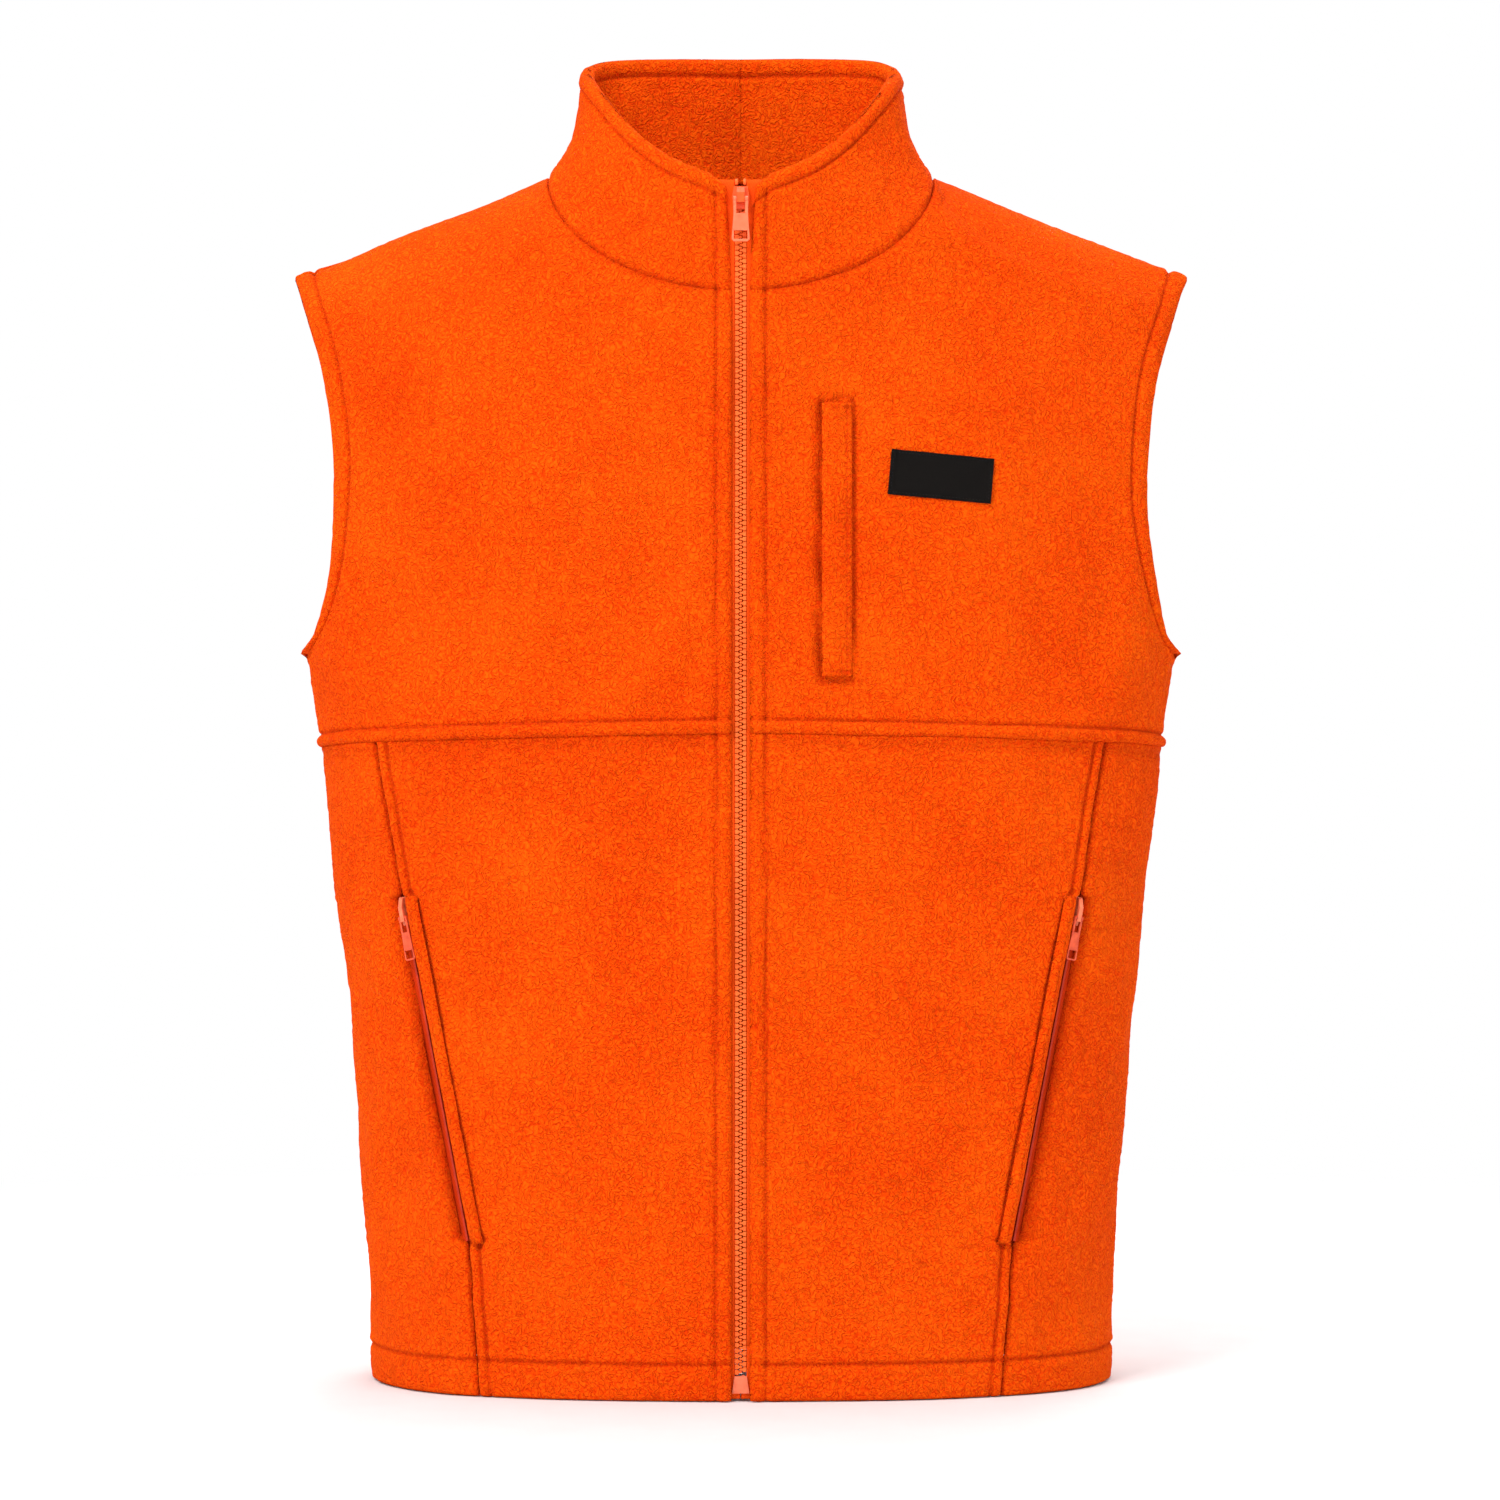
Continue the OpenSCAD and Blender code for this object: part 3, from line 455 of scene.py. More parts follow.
def woven_material(name, dark, light, pitch, roughness=0.7, twill=0.6, attribute=True):
    """Fine woven tape: crossing threads with a slight diagonal."""
    m = Nodes(name)
    place = m.place(attribute)
    split = m.add("ShaderNodeSeparateXYZ")
    m.link(place, split.inputs[0])
    x, z = split.outputs[0], split.outputs[2]
    turns = 2 * math.pi / (pitch * MM)
    diagonal = m.math("ADD", x, m.math("MULTIPLY", z, twill))
    warp = m.math("SINE", m.math("MULTIPLY", diagonal, turns))
    weft = m.math("SINE", m.math("MULTIPLY", z, turns))
    weave = m.math("ADD", m.math("MULTIPLY", m.math("MULTIPLY", warp, weft), 0.5), 0.5)
    grain = m.noise(place, 900, 2.0)
    tone = m.math("ADD", m.math("MULTIPLY", weave, 0.6), m.math("MULTIPLY", grain, 0.4))
    m.bump(tone, 0.5, 0.0003)
    m.set(Base_Color=m.ramp(tone, [(0.25, dark), (0.75, light)]), Roughness=roughness,
          Specular_IOR_Level=0.06)
    return m.material


def plastic_material(name, dark, light, roughness, cad=True, coat=0.0):
    """Moulded plastic or enamel with slight clouding and fine surface texture."""
    m = Nodes(name)
    place = m.place(not cad)
    cloud = m.noise(place, 260, 3.0)
    fine = m.noise(place, 2600, 2.0)
    rough = m.math("ADD", m.math("MULTIPLY", cloud, 0.18), roughness - 0.09)
    m.bump(m.math("ADD", m.math("MULTIPLY", cloud, 0.5), fine), 0.12, 0.0002)
    m.set(Base_Color=m.ramp(cloud, [(0.3, dark), (0.7, light)]), Roughness=rough, Coat_Weight=coat,
          Coat_Roughness=0.3, Specular_IOR_Level=0.3)
    return m.material


# colours are scene-linear, dark first
fleece = fleece_material("fleece_pile", (0.63, 0.026, 0.0008), (0.83, 0.058, 0.0012),
                         (0.90, 0.104, 0.0022))
fleece_in = fleece_material("fleece_reverse", (0.62, 0.022, 0.0012), (0.84, 0.045, 0.0022),
                            (0.96, 0.076, 0.004), 0.8)
mesh_knit = woven_material("pocket_knit", (0.62, 0.035, 0.003), (0.92, 0.08, 0.006), 1.6)
tape_weave = woven_material("zip_tape_weave", (0.80, 0.050, 0.0016), (1.0, 0.105, 0.0040), 0.9)
# painted shade: the pocket zip's tape is darkened below the fleece's orange so the pocket slit reads dark
shaded_pocket_tape_weave = woven_material("shaded_pocket_tape_weave", (0.46, 0.020, 0.0012), (0.66, 0.040, 0.0024), 0.9,
                                   attribute=False)
black_weave = woven_material("black_tape_weave", (0.006, 0.006, 0.007), (0.030, 0.030, 0.034), 0.9)
label_weave = woven_material("label_satin", (0.003, 0.0026, 0.0024), (0.010, 0.008, 0.007), 0.45, 0.75, 1.7)
thread = woven_material("stitch_thread", (0.60, 0.026, 0.002), (0.88, 0.062, 0.004), 0.5, 0.75)
black_thread = woven_material("black_thread", (0.008, 0.008, 0.009), (0.035, 0.035, 0.04), 0.5, 0.6)
teeth_plastic = plastic_material("teeth_plastic", (0.98, 0.120, 0.010), (1.0, 0.170, 0.022), 0.42, cad=False)
# painted shade: the pocket zip's coil is darkened to a deep orange for the shade inside the pocket slit
shaded_coil_plastic = plastic_material("shaded_coil_plastic", (0.42, 0.018, 0.0015), (0.58, 0.030, 0.003), 0.55)
slider_paint = plastic_material("slider_enamel", (0.90, 0.075, 0.004), (1.0, 0.105, 0.007), 0.35, coat=0.3)
pull_plastic = plastic_material("pull_plastic", (0.84, 0.150, 0.055), (0.94, 0.205, 0.090), 0.35, coat=0.3)
pocket_pull_plastic = plastic_material("pocket_pull_plastic", (0.62, 0.052, 0.012), (0.84, 0.105, 0.028),
                                       0.35, coat=0.3)

stitch_lines = {"left": [], "right": [], "torso": []}


def stitch_along(path, normals, owner, side=1):
    """Remembers a line of stitches along a polyline in mm; owner is left, right or torso."""
    flip = np.array([side, 1, 1])
    stitch_lines[owner].append(((path - normals * STITCH_SINK) * flip, normals * flip))


def iso_line(grid, normals, dist, at, axis):
    """The line on a grid where a distance field equals `at`, searching along `axis`."""
    g, n, d = (grid, normals, dist) if axis == 0 else (grid.swapaxes(0, 1), normals.swapaxes(0, 1), dist.T)
    path, lean = [], []
    for k in range(g.shape[1]):
        column = d[:, k]
        order = np.argsort(column)
        path.append([np.interp(at, column[order], g[order, k, c]) for c in range(3)])
        lean.append([np.interp(at, column[order], n[order, k, c]) for c in range(3)])
    return np.array(path), np.array(lean)


def stitch_edge(grid, normals, dist, at, axis, owner, side=1):
    """Remembers the line of stitches that runs `at` mm from an edge of a grid."""
    stitch_along(*iso_line(grid, normals, dist, at, axis), owner, side)


# ======== how the cloth hangs ========
def resample(values, axis, count):
    """Cubic resampling of an evenly spaced axis to `count` samples."""
    values = np.moveaxis(values, axis, 0)
    last = len(values) - 1
    at = np.linspace(0, last, count)
    i = np.clip(at.astype(int), 0, last - 1)
    f = (at - i)[:, None]
    a, b, c, d = [values[np.clip(i + k, 0, last)] for k in (-1, 0, 1, 2)]
    out = b + 0.5 * f * (c - a + f * (2 * a - 5 * b + 4 * c - d + f * (3 * (b - c) + d - a)))
    return np.moveaxis(out, 0, axis)


def simulate(base, side, seed):
    """Hangs a panel, pinned along its seams and cut slightly full; returns its moves along its normals."""
    nu, nv = base.shape[:2]
    length_u = np.linalg.norm(np.diff(base[:, nv // 2], axis=0), axis=1).sum()
    length_v = np.linalg.norm(np.diff(base[nu // 2], axis=0), axis=1).sum()
    cu = int(np.clip(length_u / DRAPE_STEP, 12, 70))
    cv = int(np.clip(length_v / DRAPE_STEP, 8, 60))
    columns = base[np.round(np.linspace(0, nu - 1, cu)).astype(int)]
    iv = np.linspace(0, nv - 1, cv)
    coarse = np.stack([[np.interp(iv, np.arange(nv), column[:, c]) for column in columns]
                       for c in range(3)], -1)
    n = grid_normals(coarse)
    start = coarse + n * (0.6 * waves(coarse * [side, 1, 1], 55, seed + 100))[..., None]
    obj = make_mesh("drape", start.reshape(-1, 3), [grid_faces(cu, cv)])
    index = np.arange(cu * cv).reshape(cu, cv)
    edge = np.unique(np.concatenate([index[0], index[-1], index[:, 0], index[:, -1]]))
    obj.vertex_groups.new(name="seams").add(edge.tolist(), 1.0, "REPLACE")
    cloth = obj.modifiers.new("cloth", "CLOTH")
    cloth.settings.quality = 6
    cloth.settings.mass = 0.25
    cloth.settings.tension_stiffness = 12
    cloth.settings.compression_stiffness = 12
    cloth.settings.shear_stiffness = 5
    cloth.settings.bending_stiffness = 1.5
    cloth.settings.shrink_min = -0.008
    cloth.settings.vertex_group_mass = "seams"
    cloth.collision_settings.use_collision = False
    cloth.point_cache.frame_end = DRAPE_FRAMES
    scene = bpy.context.scene
    for number in range(1, DRAPE_FRAMES + 1):
        scene.frame_set(number)
    hung = obj.evaluated_get(bpy.context.evaluated_depsgraph_get())
    co = np.zeros(cu * cv * 3, np.float32)
    hung.data.vertices.foreach_get("co", co)
    scene.frame_set(1)
    bpy.data.objects.remove(obj)
    return ((co.reshape(cu, cv, 3) / MM - coarse) * n).sum(-1)


def drape(base, side, seed):
    """Simulated hang of a panel in mm along its normals, faded out towards its seams."""
    moved = np.clip(simulate(base, side, seed), -6, 6)
    nu, nv = base.shape[:2]
    moved = resample(resample(moved, 0, nu), 1, nv)
    fade = smooth(np.min(edge_distances(base), axis=0), 0, DRAPE_FADE)
    return DRAPE_LIMIT * np.tanh(moved / DRAPE_LIMIT) * fade


# ======== front panels ========
def coons(us, vs, bottom, top, inner, outer):
    """Blends four boundary curves, each a function returning [x, z], into a grid of [x, z]."""
    u, v = np.meshgrid(us, vs, indexing="ij")
    u3, v3 = u[..., None], v[..., None]
    b, t, l, r = bottom(u), top(u), inner(v), outer(v)
    one, zero = np.ones(1), np.zeros(1)
    corners = ((1 - u3) * (1 - v3) * bottom(zero)[0] + u3 * (1 - v3) * bottom(one)[0]
               + (1 - u3) * v3 * top(zero)[0] + u3 * v3 * top(one)[0])
    return (1 - v3) * b + v3 * t + (1 - u3) * l + u3 * r - corners


def pair(x, z):
    return np.stack(np.broadcast_arrays(x, z), -1)


def outer_edge(v, cut=0.0):
    low_z = YOKE_Z - YOKE_DROP + (ARMPIT_Z - YOKE_Z + YOKE_DROP) * v / ARMPIT_V
    t = (1 - np.cos(np.pi * np.clip((v - ARMPIT_V) / (1 - ARMPIT_V), 0, 1))) / 2
    is_side = v < ARMPIT_V
    z = np.where(is_side, low_z, ARMPIT_Z + (TIP_Z - ARMPIT_Z) * t)
    return pair(np.where(is_side, half_width(z), armhole_x(t) - cut * np.sin(np.pi * t * t)), z)


def top_edge(u, start, quarter):
    a = start + (np.pi / 2 - start) * np.minimum(1, u / NECK_U)
    t = np.clip((u - NECK_U) / (1 - NECK_U), 0, 1)
    x = NECK_HALF + (TIP_HALF - NECK_HALF) * t
    neck = pair(NECK_HALF * np.sin(a), neck_z(a if quarter > 0 else np.pi - a))
    return np.where((u < NECK_U)[..., None], neck, pair(x, shoulder_top(x)))


def bottom_edge(u, x0):
    z = YOKE_Z - YOKE_DROP * u
    a = section_angle(x0, z)
    return pair(section_x(a + (np.pi / 2 - a) * u, z), z)


def yoke_grid(us, vs, x0, start, quarter):
    top0 = top_edge(np.zeros(1), start, quarter)[0]
    inner = lambda v: pair(x0, YOKE_Z + (top0[1] - YOKE_Z) * v)
    outer = lambda v: outer_edge(v, FRONT_CUT if quarter > 0 else 0.0)
    g = coons(us, vs, lambda u: bottom_edge(u, x0), lambda u: top_edge(u, start, quarter), inner, outer)
    return np.clip(g[..., 0], x0, half_width(g[..., 1])), g[..., 1]


def armhole_roll(d_arm, vs, z):
    """The turned edge of the armhole and the knob it makes where it meets the side seam."""
    on_arm = smooth(vs, ARMPIT_V - 0.015, ARMPIT_V + 0.02)[None, :]
    knob = 3.8 * np.exp(-(((z - ARMPIT_Z - 1) / 6) ** 2)) * np.exp(-((d_arm / 8) ** 2))
    return on_arm * roll(d_arm, ARM_ROLL, 1.3) + knob


def stitch_armhole(top, n, d_arm, vs, owner, side=1):
    """Stitches along the armhole's rolled edge, above the side seam."""
    path, lean = iso_line(top, n, d_arm, ARM_ROLL, 0)
    keep = vs > ARMPIT_V + 0.02
    stitch_along(path[keep], lean[keep], owner, side)


def fleece_panel(node, base, relief, side, hang, bends=True):
    """An outer panel in place of the CAD node; returns its outer grid and normals."""
    obj, top, n = sheet(f"{node}_fleece", base, relief, FLEECE, side, hang=hang)
    finish_piece(obj, fleece, [node], side if bends else 0)
    return top, n


def chest_slit(across, along):
    """The slit of the chest pocket and the stitched box round its welt."""
    half = (CHEST_Z[1] - CHEST_Z[0]) / 2 + 1.5
    inside = 1 - smooth(np.abs(along), half - 3, half)
    ends = 1 - smooth(np.abs(across - CHEST_W / 2), 9, 11)
    return (inside * (bump(across, -1.6, -4.2, 1.5) + bump(across, CHEST_W + 1.5, -1.3, 1.5))
            + ends * bump(np.abs(along), half, -1.2, 1.5))


def front_yoke(side):
    name = SIDES[side]
    us, vs = spaced(300), finer_between(spaced(270), 0.17, 0.27, 0.005)
    if side > 0:
        us = finer_between(us, 0.13, 0.26, 0.0028)
    x, z = yoke_grid(us, vs, FRONT_EDGE, math.asin(FRONT_EDGE / NECK_HALF), 1)
    base = front_point(x, z)
    d_zip, d_arm, d_low, d_top = edge_distances(base)
    relief = (roll(d_zip, ZIP_ROLL, 1.0) + roll(d_low, YOKE_ROLL, 2.3) + armhole_roll(d_arm, vs, z)
              + bump(d_top, 0, -0.9, 2.4))
    calm = 1.0
    if side > 0:
        across, along = x - CHEST_X, z - sum(CHEST_Z) / 2
        relief = relief + chest_slit(across, along)
        away_x = np.maximum(0, np.abs(x - CALM_X) - CALM_HALF)
        away_z = np.maximum(0, np.abs(along) - CALM_TALL)
        calm = smooth(np.hypot(away_x, away_z), 0, 30)
    hang = calm * (drape(base, side, 21) + 0.7 * waves(base * [side, 1, 1], 70, 21))
    top, n = fleece_panel(f"{name}_front_yoke", base, relief, side, hang)
    stitch_edge(top, n, d_zip, ZIP_ROLL, 0, name, side)
    stitch_edge(top, n, d_low, YOKE_ROLL, 1, name, side)
    stitch_armhole(top, n, d_arm, vs, name, side)


def lower_rows():
    """Heights of a lower panel's rows: close at the hem, at the ends of the pocket and at the yoke."""
    low, high = POCKET_LOW[1], POCKET_HIGH[1]
    stops = [0, 28, low - 8, low + 8, high - 8, high + 8, YOKE_Z - 20]
    steps = [FINE, COARSE] * 3
    rows = [np.arange(start, stop, step) for start, stop, step in zip(stops, stops[1:], steps)]
    rows.append(np.linspace(stops[-1], YOKE_Z + TUCK, int((20 + TUCK) / FINE)))
    return np.unique(np.concatenate(rows))


def tucked(d_top):
    """Drops the top of a lower panel behind the yoke."""
    return -3.6 * (1 - smooth(d_top, TUCK - 3.0, TUCK + 0.5)) + bump(d_top, TUCK + 4, -0.5, 4.0)


def opening(z):
    """1 inside the hand pocket opening, 0 above and below it."""
    above_low = smooth(z, POCKET_LOW[1] - 2, POCKET_LOW[1] + 1)
    return above_low * (1 - smooth(z, POCKET_HIGH[1] - 1, POCKET_HIGH[1] + 2))


def under_pull(d_pocket, z):
    """1 where the pull hangs over the cloth below the open end of the hand pocket."""
    return (1 - smooth(d_pocket, 5, 16)) * smooth(z, 52, 64) * (1 - smooth(z, 86, 92))


def pocket_edge(sign):
    """Angle of the hand pocket's edge: sign -1 is the lower front's, 1 the side front's."""
    gap = POCKET_GAP / 2 - 0.4
    return lambda z: section_angle(pocket_seam(z) + sign * 0.3 + sign * gap * opening(z), z)


def angle_zero(z):
    return np.zeros_like(z)


def angle_side(z):
    return np.full_like(z, np.pi / 2)


def lower_grid(us, first, last):
    """Columns between two angles of the section, rows that dip with the yoke seam near the top."""
    u, row = np.meshgrid(us, lower_rows(), indexing="ij")
    dip = smooth(row, 300, YOKE_Z)
    z = row
    for _ in range(2):
        a0, a1 = first(z), last(z)
        a = a0 + (a1 - a0) * u
        z = row - YOKE_DROP * np.minimum(1, dip) * a / (np.pi / 2)
    return section_x(a, z), z


def pressed_hang(base, side, seed, d_pocket):
    """The hang of a panel beside the hand pocket, pressed flat under the pocket's pull."""
    pressed = under_pull(d_pocket, base[..., 2])
    free = drape(base, side, seed) + 0.8 * waves(base * [side, 1, 1], 80, 22)
    return (1 - pressed) * free - 1.6 * pressed


def lower_front(side):
    name = SIDES[side]
    x, z = lower_grid(spaced(190), lambda z: section_angle(FRONT_EDGE, z), pocket_edge(-1))
    base = front_point(x, z)
    d_zip, d_pocket, d_low, d_top = edge_distances(base)
    closed_seam = roll(d_pocket, POCKET_ROLL, 0.8) * (d_pocket < 6) - bump(d_pocket, 0, 0.9, 1.6)
    seam = bump(d_pocket, POCKET_ROLL, -1.2, 1.2) + (1 - opening(z)) * closed_seam
    tack = (1 - smooth(d_pocket, 8, 10)) * (bump(z, POCKET_LOW[1] - 2.5, -1.3, 1.3)
                                            + bump(z, POCKET_HIGH[1] + 3, -0.9, 1.3))
    relief = roll(d_zip, ZIP_ROLL, 1.0) + roll(d_low, HEM_ROLL, 0.7) + seam + tack + tucked(d_top)
    hang = pressed_hang(base, side, 22, d_pocket)
    top, n = fleece_panel(f"{name}_lower_front", base, relief, side, hang)
    stitch_edge(top, n, d_zip, ZIP_ROLL, 0, name, side)
    stitch_edge(top, n, d_low, HEM_ROLL, 1, name, side)
    path, lean = iso_line(top, n, d_pocket, POCKET_ROLL, 0)
    below_yoke = path[:, 2] < YOKE_Z - YOKE_DROP - 2
    stitch_along(path[below_yoke], lean[below_yoke], name, side)


def side_front(side):
    name = SIDES[side]
    x, z = lower_grid(spaced(110), pocket_edge(1), angle_side)
    base = front_point(x, z)
    d_pocket, d_side, d_low, d_top = edge_distances(base)
    relief = (roll(d_low, HEM_ROLL, 0.7) + opening(z) * bump(d_pocket, 0, -1.2, 5.0)
              - (1 - opening(z)) * bump(d_pocket, 0, 0.9, 1.6) + tucked(d_top) + bump(d_side, 0, -0.5, 3.0))
    hang = pressed_hang(base, side, 27, d_pocket)
    top, n = fleece_panel(f"{name}_side_front", base, relief, side, hang, False)
    stitch_edge(top, n, d_low, HEM_ROLL, 1, "torso", side)


def mirrored_back(x_half, z_half):
    """Extends a half grid, from the centre outward, over both sides; u runs from +X to -X."""
    half = back_point(x_half, z_half)
    return np.concatenate([half[::-1], half[1:] * [-1, 1, 1]])


def back_yoke():
    us, vs = spaced(300, (1.3, 20)), finer_between(spaced(300), 0.17, 0.27, 0.005)
    base = mirrored_back(*yoke_grid(us, vs, 0.0, 0.0, -1))
    d_left, d_right, d_low, d_top = edge_distances(base)
    relief = (roll(d_low, YOKE_ROLL, 2.3) + armhole_roll(np.minimum(d_left, d_right), vs, base[..., 2])
              + bump(d_top, 0, -0.9, 2.4))
    hang = drape(base, 1, 23) + 0.8 * waves(base, 90, 23)
    top, n = fleece_panel("back_yoke", base, relief, 1, hang, False)
    stitch_edge(top, n, d_low, YOKE_ROLL, 1, "torso")
    for d_arm in (d_left, d_right):
        stitch_armhole(top, n, d_arm, vs, "torso")


def back_lower():
    base = mirrored_back(*lower_grid(spaced(300, (1.3, 20)), angle_zero, angle_side))
    d_left, d_right, d_low, d_top = edge_distances(base)
    relief = (roll(d_low, HEM_ROLL, 0.7) + tucked(d_top)
              + bump(np.minimum(d_left, d_right), 0, -0.5, 3.0))
    hang = drape(base, 1, 24) + 0.9 * waves(base, 90, 24)
    top, n = fleece_panel("back_lower", base, relief, 1, hang, False)
    stitch_edge(top, n, d_low, HEM_ROLL, 1, "torso")


# ======== collar ========
def collar_top(angle):
    c, s = np.cos(angle), np.maximum(0, np.sin(angle))
    flat = np.abs(c) ** 0.8
    front = stack(COLLAR_HALF * s**0.8, -DEPTH_TOP * flat,
                  COLLAR_FRONT + (COLLAR_SIDE - COLLAR_FRONT) * s**1.9)
    back = stack(COLLAR_HALF * s**0.8, COLLAR_BACK_Y * flat,
                 COLLAR_SIDE + (COLLAR_BACK - COLLAR_SIDE) * np.maximum(0, -c) ** 0.5)
    return np.where((angle <= np.pi / 2)[..., None], front, back)


def collar(side):
    """Fleece outside and lining as one sheet; its first rows go down behind the neck seam."""
    name = SIDES[side]
    tall = 68
    us, vs = spaced(255), np.concatenate([[-0.09, -0.06, -0.04, -0.02], spaced(tall, (16, 20))])
    start = math.asin(FRONT_EDGE / NECK_HALF)
    angle, v = np.meshgrid(start + (np.pi - start) * us, vs, indexing="ij")
    low, high = neck_point(angle), collar_top(angle)
    corner = np.exp(-((np.maximum(0, high[..., 0] - FRONT_EDGE) / 9.0) ** 1.5)) * (angle < 1)
    high[..., 2] += 2.0 - 10.0 * corner
    base = low + (high - low) * v[..., None]
    waisted = base[..., 0] * (1 - 0.04 * np.sin(np.pi * v))
    base[..., 0] = np.maximum(waisted, np.where(angle < 1, FRONT_EDGE, 0))
    d_zip, _, _, d_top = edge_distances(base)
    hang = drape(base, side, 25) + 0.8 * waves(base * [side, 1, 1], 60, 25)
    under = 3.4 * (1 - smooth(v, -0.045, 0.005))
    top_roll = roll(d_top, COLLAR_ROLL, 1.1)
    relief = (roll(d_zip, ZIP_ROLL, 1.0) + bump(v * tall, 0, -1.0, 2.2) + bump(v * tall, 4, 0.5, 3.0)
              - under + top_roll)
    thick = FACING_INSET + 1.5
    obj, top, n = sheet(f"{name}_collar_fleece", base, relief, thick, side, rims=(1, 0, 0, 1),
                        inner_relief=-top_roll, hang=hang, centred=True)
    finish_piece(obj, fleece, [f"{name}_collar", f"{name}_collar_lining"], side)
    path, lean = iso_line(top, n, d_zip, ZIP_ROLL, 0)
    stitch_along(path[:-3], lean[:-3], name, side)
    stitch_edge(top, n, d_top, COLLAR_ROLL, 1, name, side)
    inside = base - n * (thick + top_roll - hang)[..., None]
    stitch_edge(inside, -n, d_top, COLLAR_ROLL, 1, name, side)


for side in SIDES:
    front_yoke(side)
    lower_front(side)
    side_front(side)
    collar(side)
back_yoke()
back_lower()


# ======== inner layers, bags, welts, label ========
def armhole_facing(side):
    """A strip round the armhole's edge, up the front (t below 1) and down the back."""
    half = (1 - np.cos(np.pi * np.linspace(0, 1, 150))) / 2
    loop = np.concatenate([half, 2 - half[-2:0:-1]])
    t, v = np.meshgrid(loop, spaced(ARM_ROLL, (6, 6), 1.0), indexing="ij")
    s = np.where(t < 1, t, 2 - t)
    inset = 0.6 + ARM_ROLL * v
    z = (ARMPIT_Z - inset) + (TIP_Z - ARMPIT_Z + 1.39 * inset) * s
    x = armhole_x(s) - inset * np.sin(np.pi / 2 * np.minimum(1, 4 * s))
    x = np.minimum(x - (t < 1) * FRONT_CUT * np.sin(np.pi * s * s), half_width(z))
    base = np.where((t < 1)[..., None], front_point(x, z), back_point(x, z))
    obj, _, _ = sheet(f"{SIDES[side]}_armhole_facing_fleece", base, 0.25 * waves(base, 30, 31), 1.6, side,
                      outer=-FLEECE - 0.5, rims=(0, 0, 1, 1), pile=0, ring=True)
    finish_piece(obj, fleece_in, [f"{SIDES[side]}_armhole_facing"])


def ring_point(angle, z):
    """A point of the section at an angle from the zip, going round by the wearer's left."""
    side = np.where(angle < np.pi, 1, -1)
    turn = np.where(angle < np.pi, angle, 2 * np.pi - angle)
    x = section_x(np.where(turn < np.pi / 2, turn, np.pi - turn), z)
    p = np.where((turn < np.pi / 2)[..., None], front_point(x, z), back_point(x, z))
    return p * stack(side, 1, 1)


def hem_facing():
    start = float(section_angle(TAPE_HALF + 2, 0.0))
    around = np.linspace(start, 2 * np.pi - start, 300)
    angle, z = np.meshgrid(around, spaced(HEM_FACING, (5, 5), 1.2) * HEM_FACING, indexing="ij")
    base = ring_point(angle, z)
    obj, _, _ = sheet("hem_facing_fleece", base, 0.3 * waves(base, 40, 33), 1.6, 1, outer=-FLEECE - 0.6)
    finish_piece(obj, fleece_in, ["hem_facing"])


# what a layer is made of: material, slot, ending of its name, depth of the pile
OUTER_FLEECE, INNER_FLEECE = (fleece, "fleece", "fleece", 0.12), (fleece_in, "fleece_inner", "fleece", 0.12)
KNIT = (mesh_knit, "pocket_mesh", "knit", 0.0)


def front_layer(node, x_range, z_range, width, outer, thick, made_of, side, relief, step=None):
    """A sheet on or behind the front, between two x functions and two heights, about `width` mm across."""
    (x0, x1), (z0, z1) = x_range, z_range
    u, v = np.meshgrid(spaced(width, (4, 4), step), spaced(z1 - z0, (6, 6), step), indexing="ij")
    z = z0 + (z1 - z0) * v
    base = front_point(x0(z) + (x1(z) - x0(z)) * u, z)
    d = edge_distances(base)
    material, slot, ending, pile = made_of
    obj, top, n = sheet(f"{node}_{ending}", base, relief(base, d), thick, side, outer=outer, pile=pile)
    finish_piece(obj, material, [node], side)
    return top, n, d


def fixed(value):
    return lambda z: np.full_like(z, value)


def beside_seam(offset):
    return lambda z: pocket_seam(z) + offset


def welt_relief(p, d):
    """A strip folded over its long edge, with its two ends sewn down."""
    fold = 1.5 * np.sin(np.pi * np.clip(d[0] / (WELT_W + 0.8), 0, 1)) ** 0.8
    return fold + bump(d[2], 0, -1.2, 3) + bump(d[3], 0, -1.2, 3) + 0.2 * waves(p, 25, 36)


def inner_parts(side):
    name = SIDES[side]
    armhole_facing(side)
    front_layer(f"{name}_front_facing", (fixed(FRONT_EDGE + 0.2), fixed(FACING_EDGE)), (SPLIT_Z, FACING_TOP),
                27, -FACING_INSET, 1.5, INNER_FLEECE, side, lambda p, d: 0.3 * waves(p, 40, 34))
    front_layer(f"{name}_pocket_bag", (fixed(BAG_EDGE), beside_seam(BAG_PAST)), (BAG_LOW, BAG_HIGH),
                130, -7.0, 1.0, KNIT, side,
                lambda p, d: -2.2 * smooth(np.min(d, axis=0), 0, 60) + 0.6 * waves(p, 50, 35))
    gap = POCKET_GAP / 2
    front_layer(f"{name}_pocket_welt", (beside_seam(-gap - WELT_W), beside_seam(-gap + 0.8)),
                (POCKET_LOW[1] - 1, POCKET_HIGH[1] + 1), 7, 2.2, 3.0, OUTER_FLEECE, side, welt_relief, 0.9)


def chest_pocket():
    front_layer("chest_pocket_bag", (fixed(CHEST_X - 8), fixed(CHEST_X + 90)),
                (CHEST_Z[0] - 12, CHEST_Z[1] + 10), 98, -FACING_INSET, 1.0, KNIT, 1,
                lambda p, d: -1.6 * smooth(np.min(d, axis=0), 0, 40))
    top, n, d = front_layer(
        "chest_pocket_welt", (fixed(CHEST_X - 0.6), fixed(CHEST_X + CHEST_W)),
        (CHEST_Z[0] + 1, CHEST_Z[1] - 1), CHEST_W, 2.3, 2.6, OUTER_FLEECE, 1,
        lambda p, d: (bump(d[0], 3, 0.7, 2.6) + sum(bump(edge, WELT_ROLL, -0.7, 1.0) for edge in d[1:])
                      + 0.2 * waves(p, 25, 37)), 0.9)
    for edge, axis in ((1, 0), (2, 1), (3, 1)):
        stitch_edge(top, n, d[edge], WELT_ROLL, axis, "left")


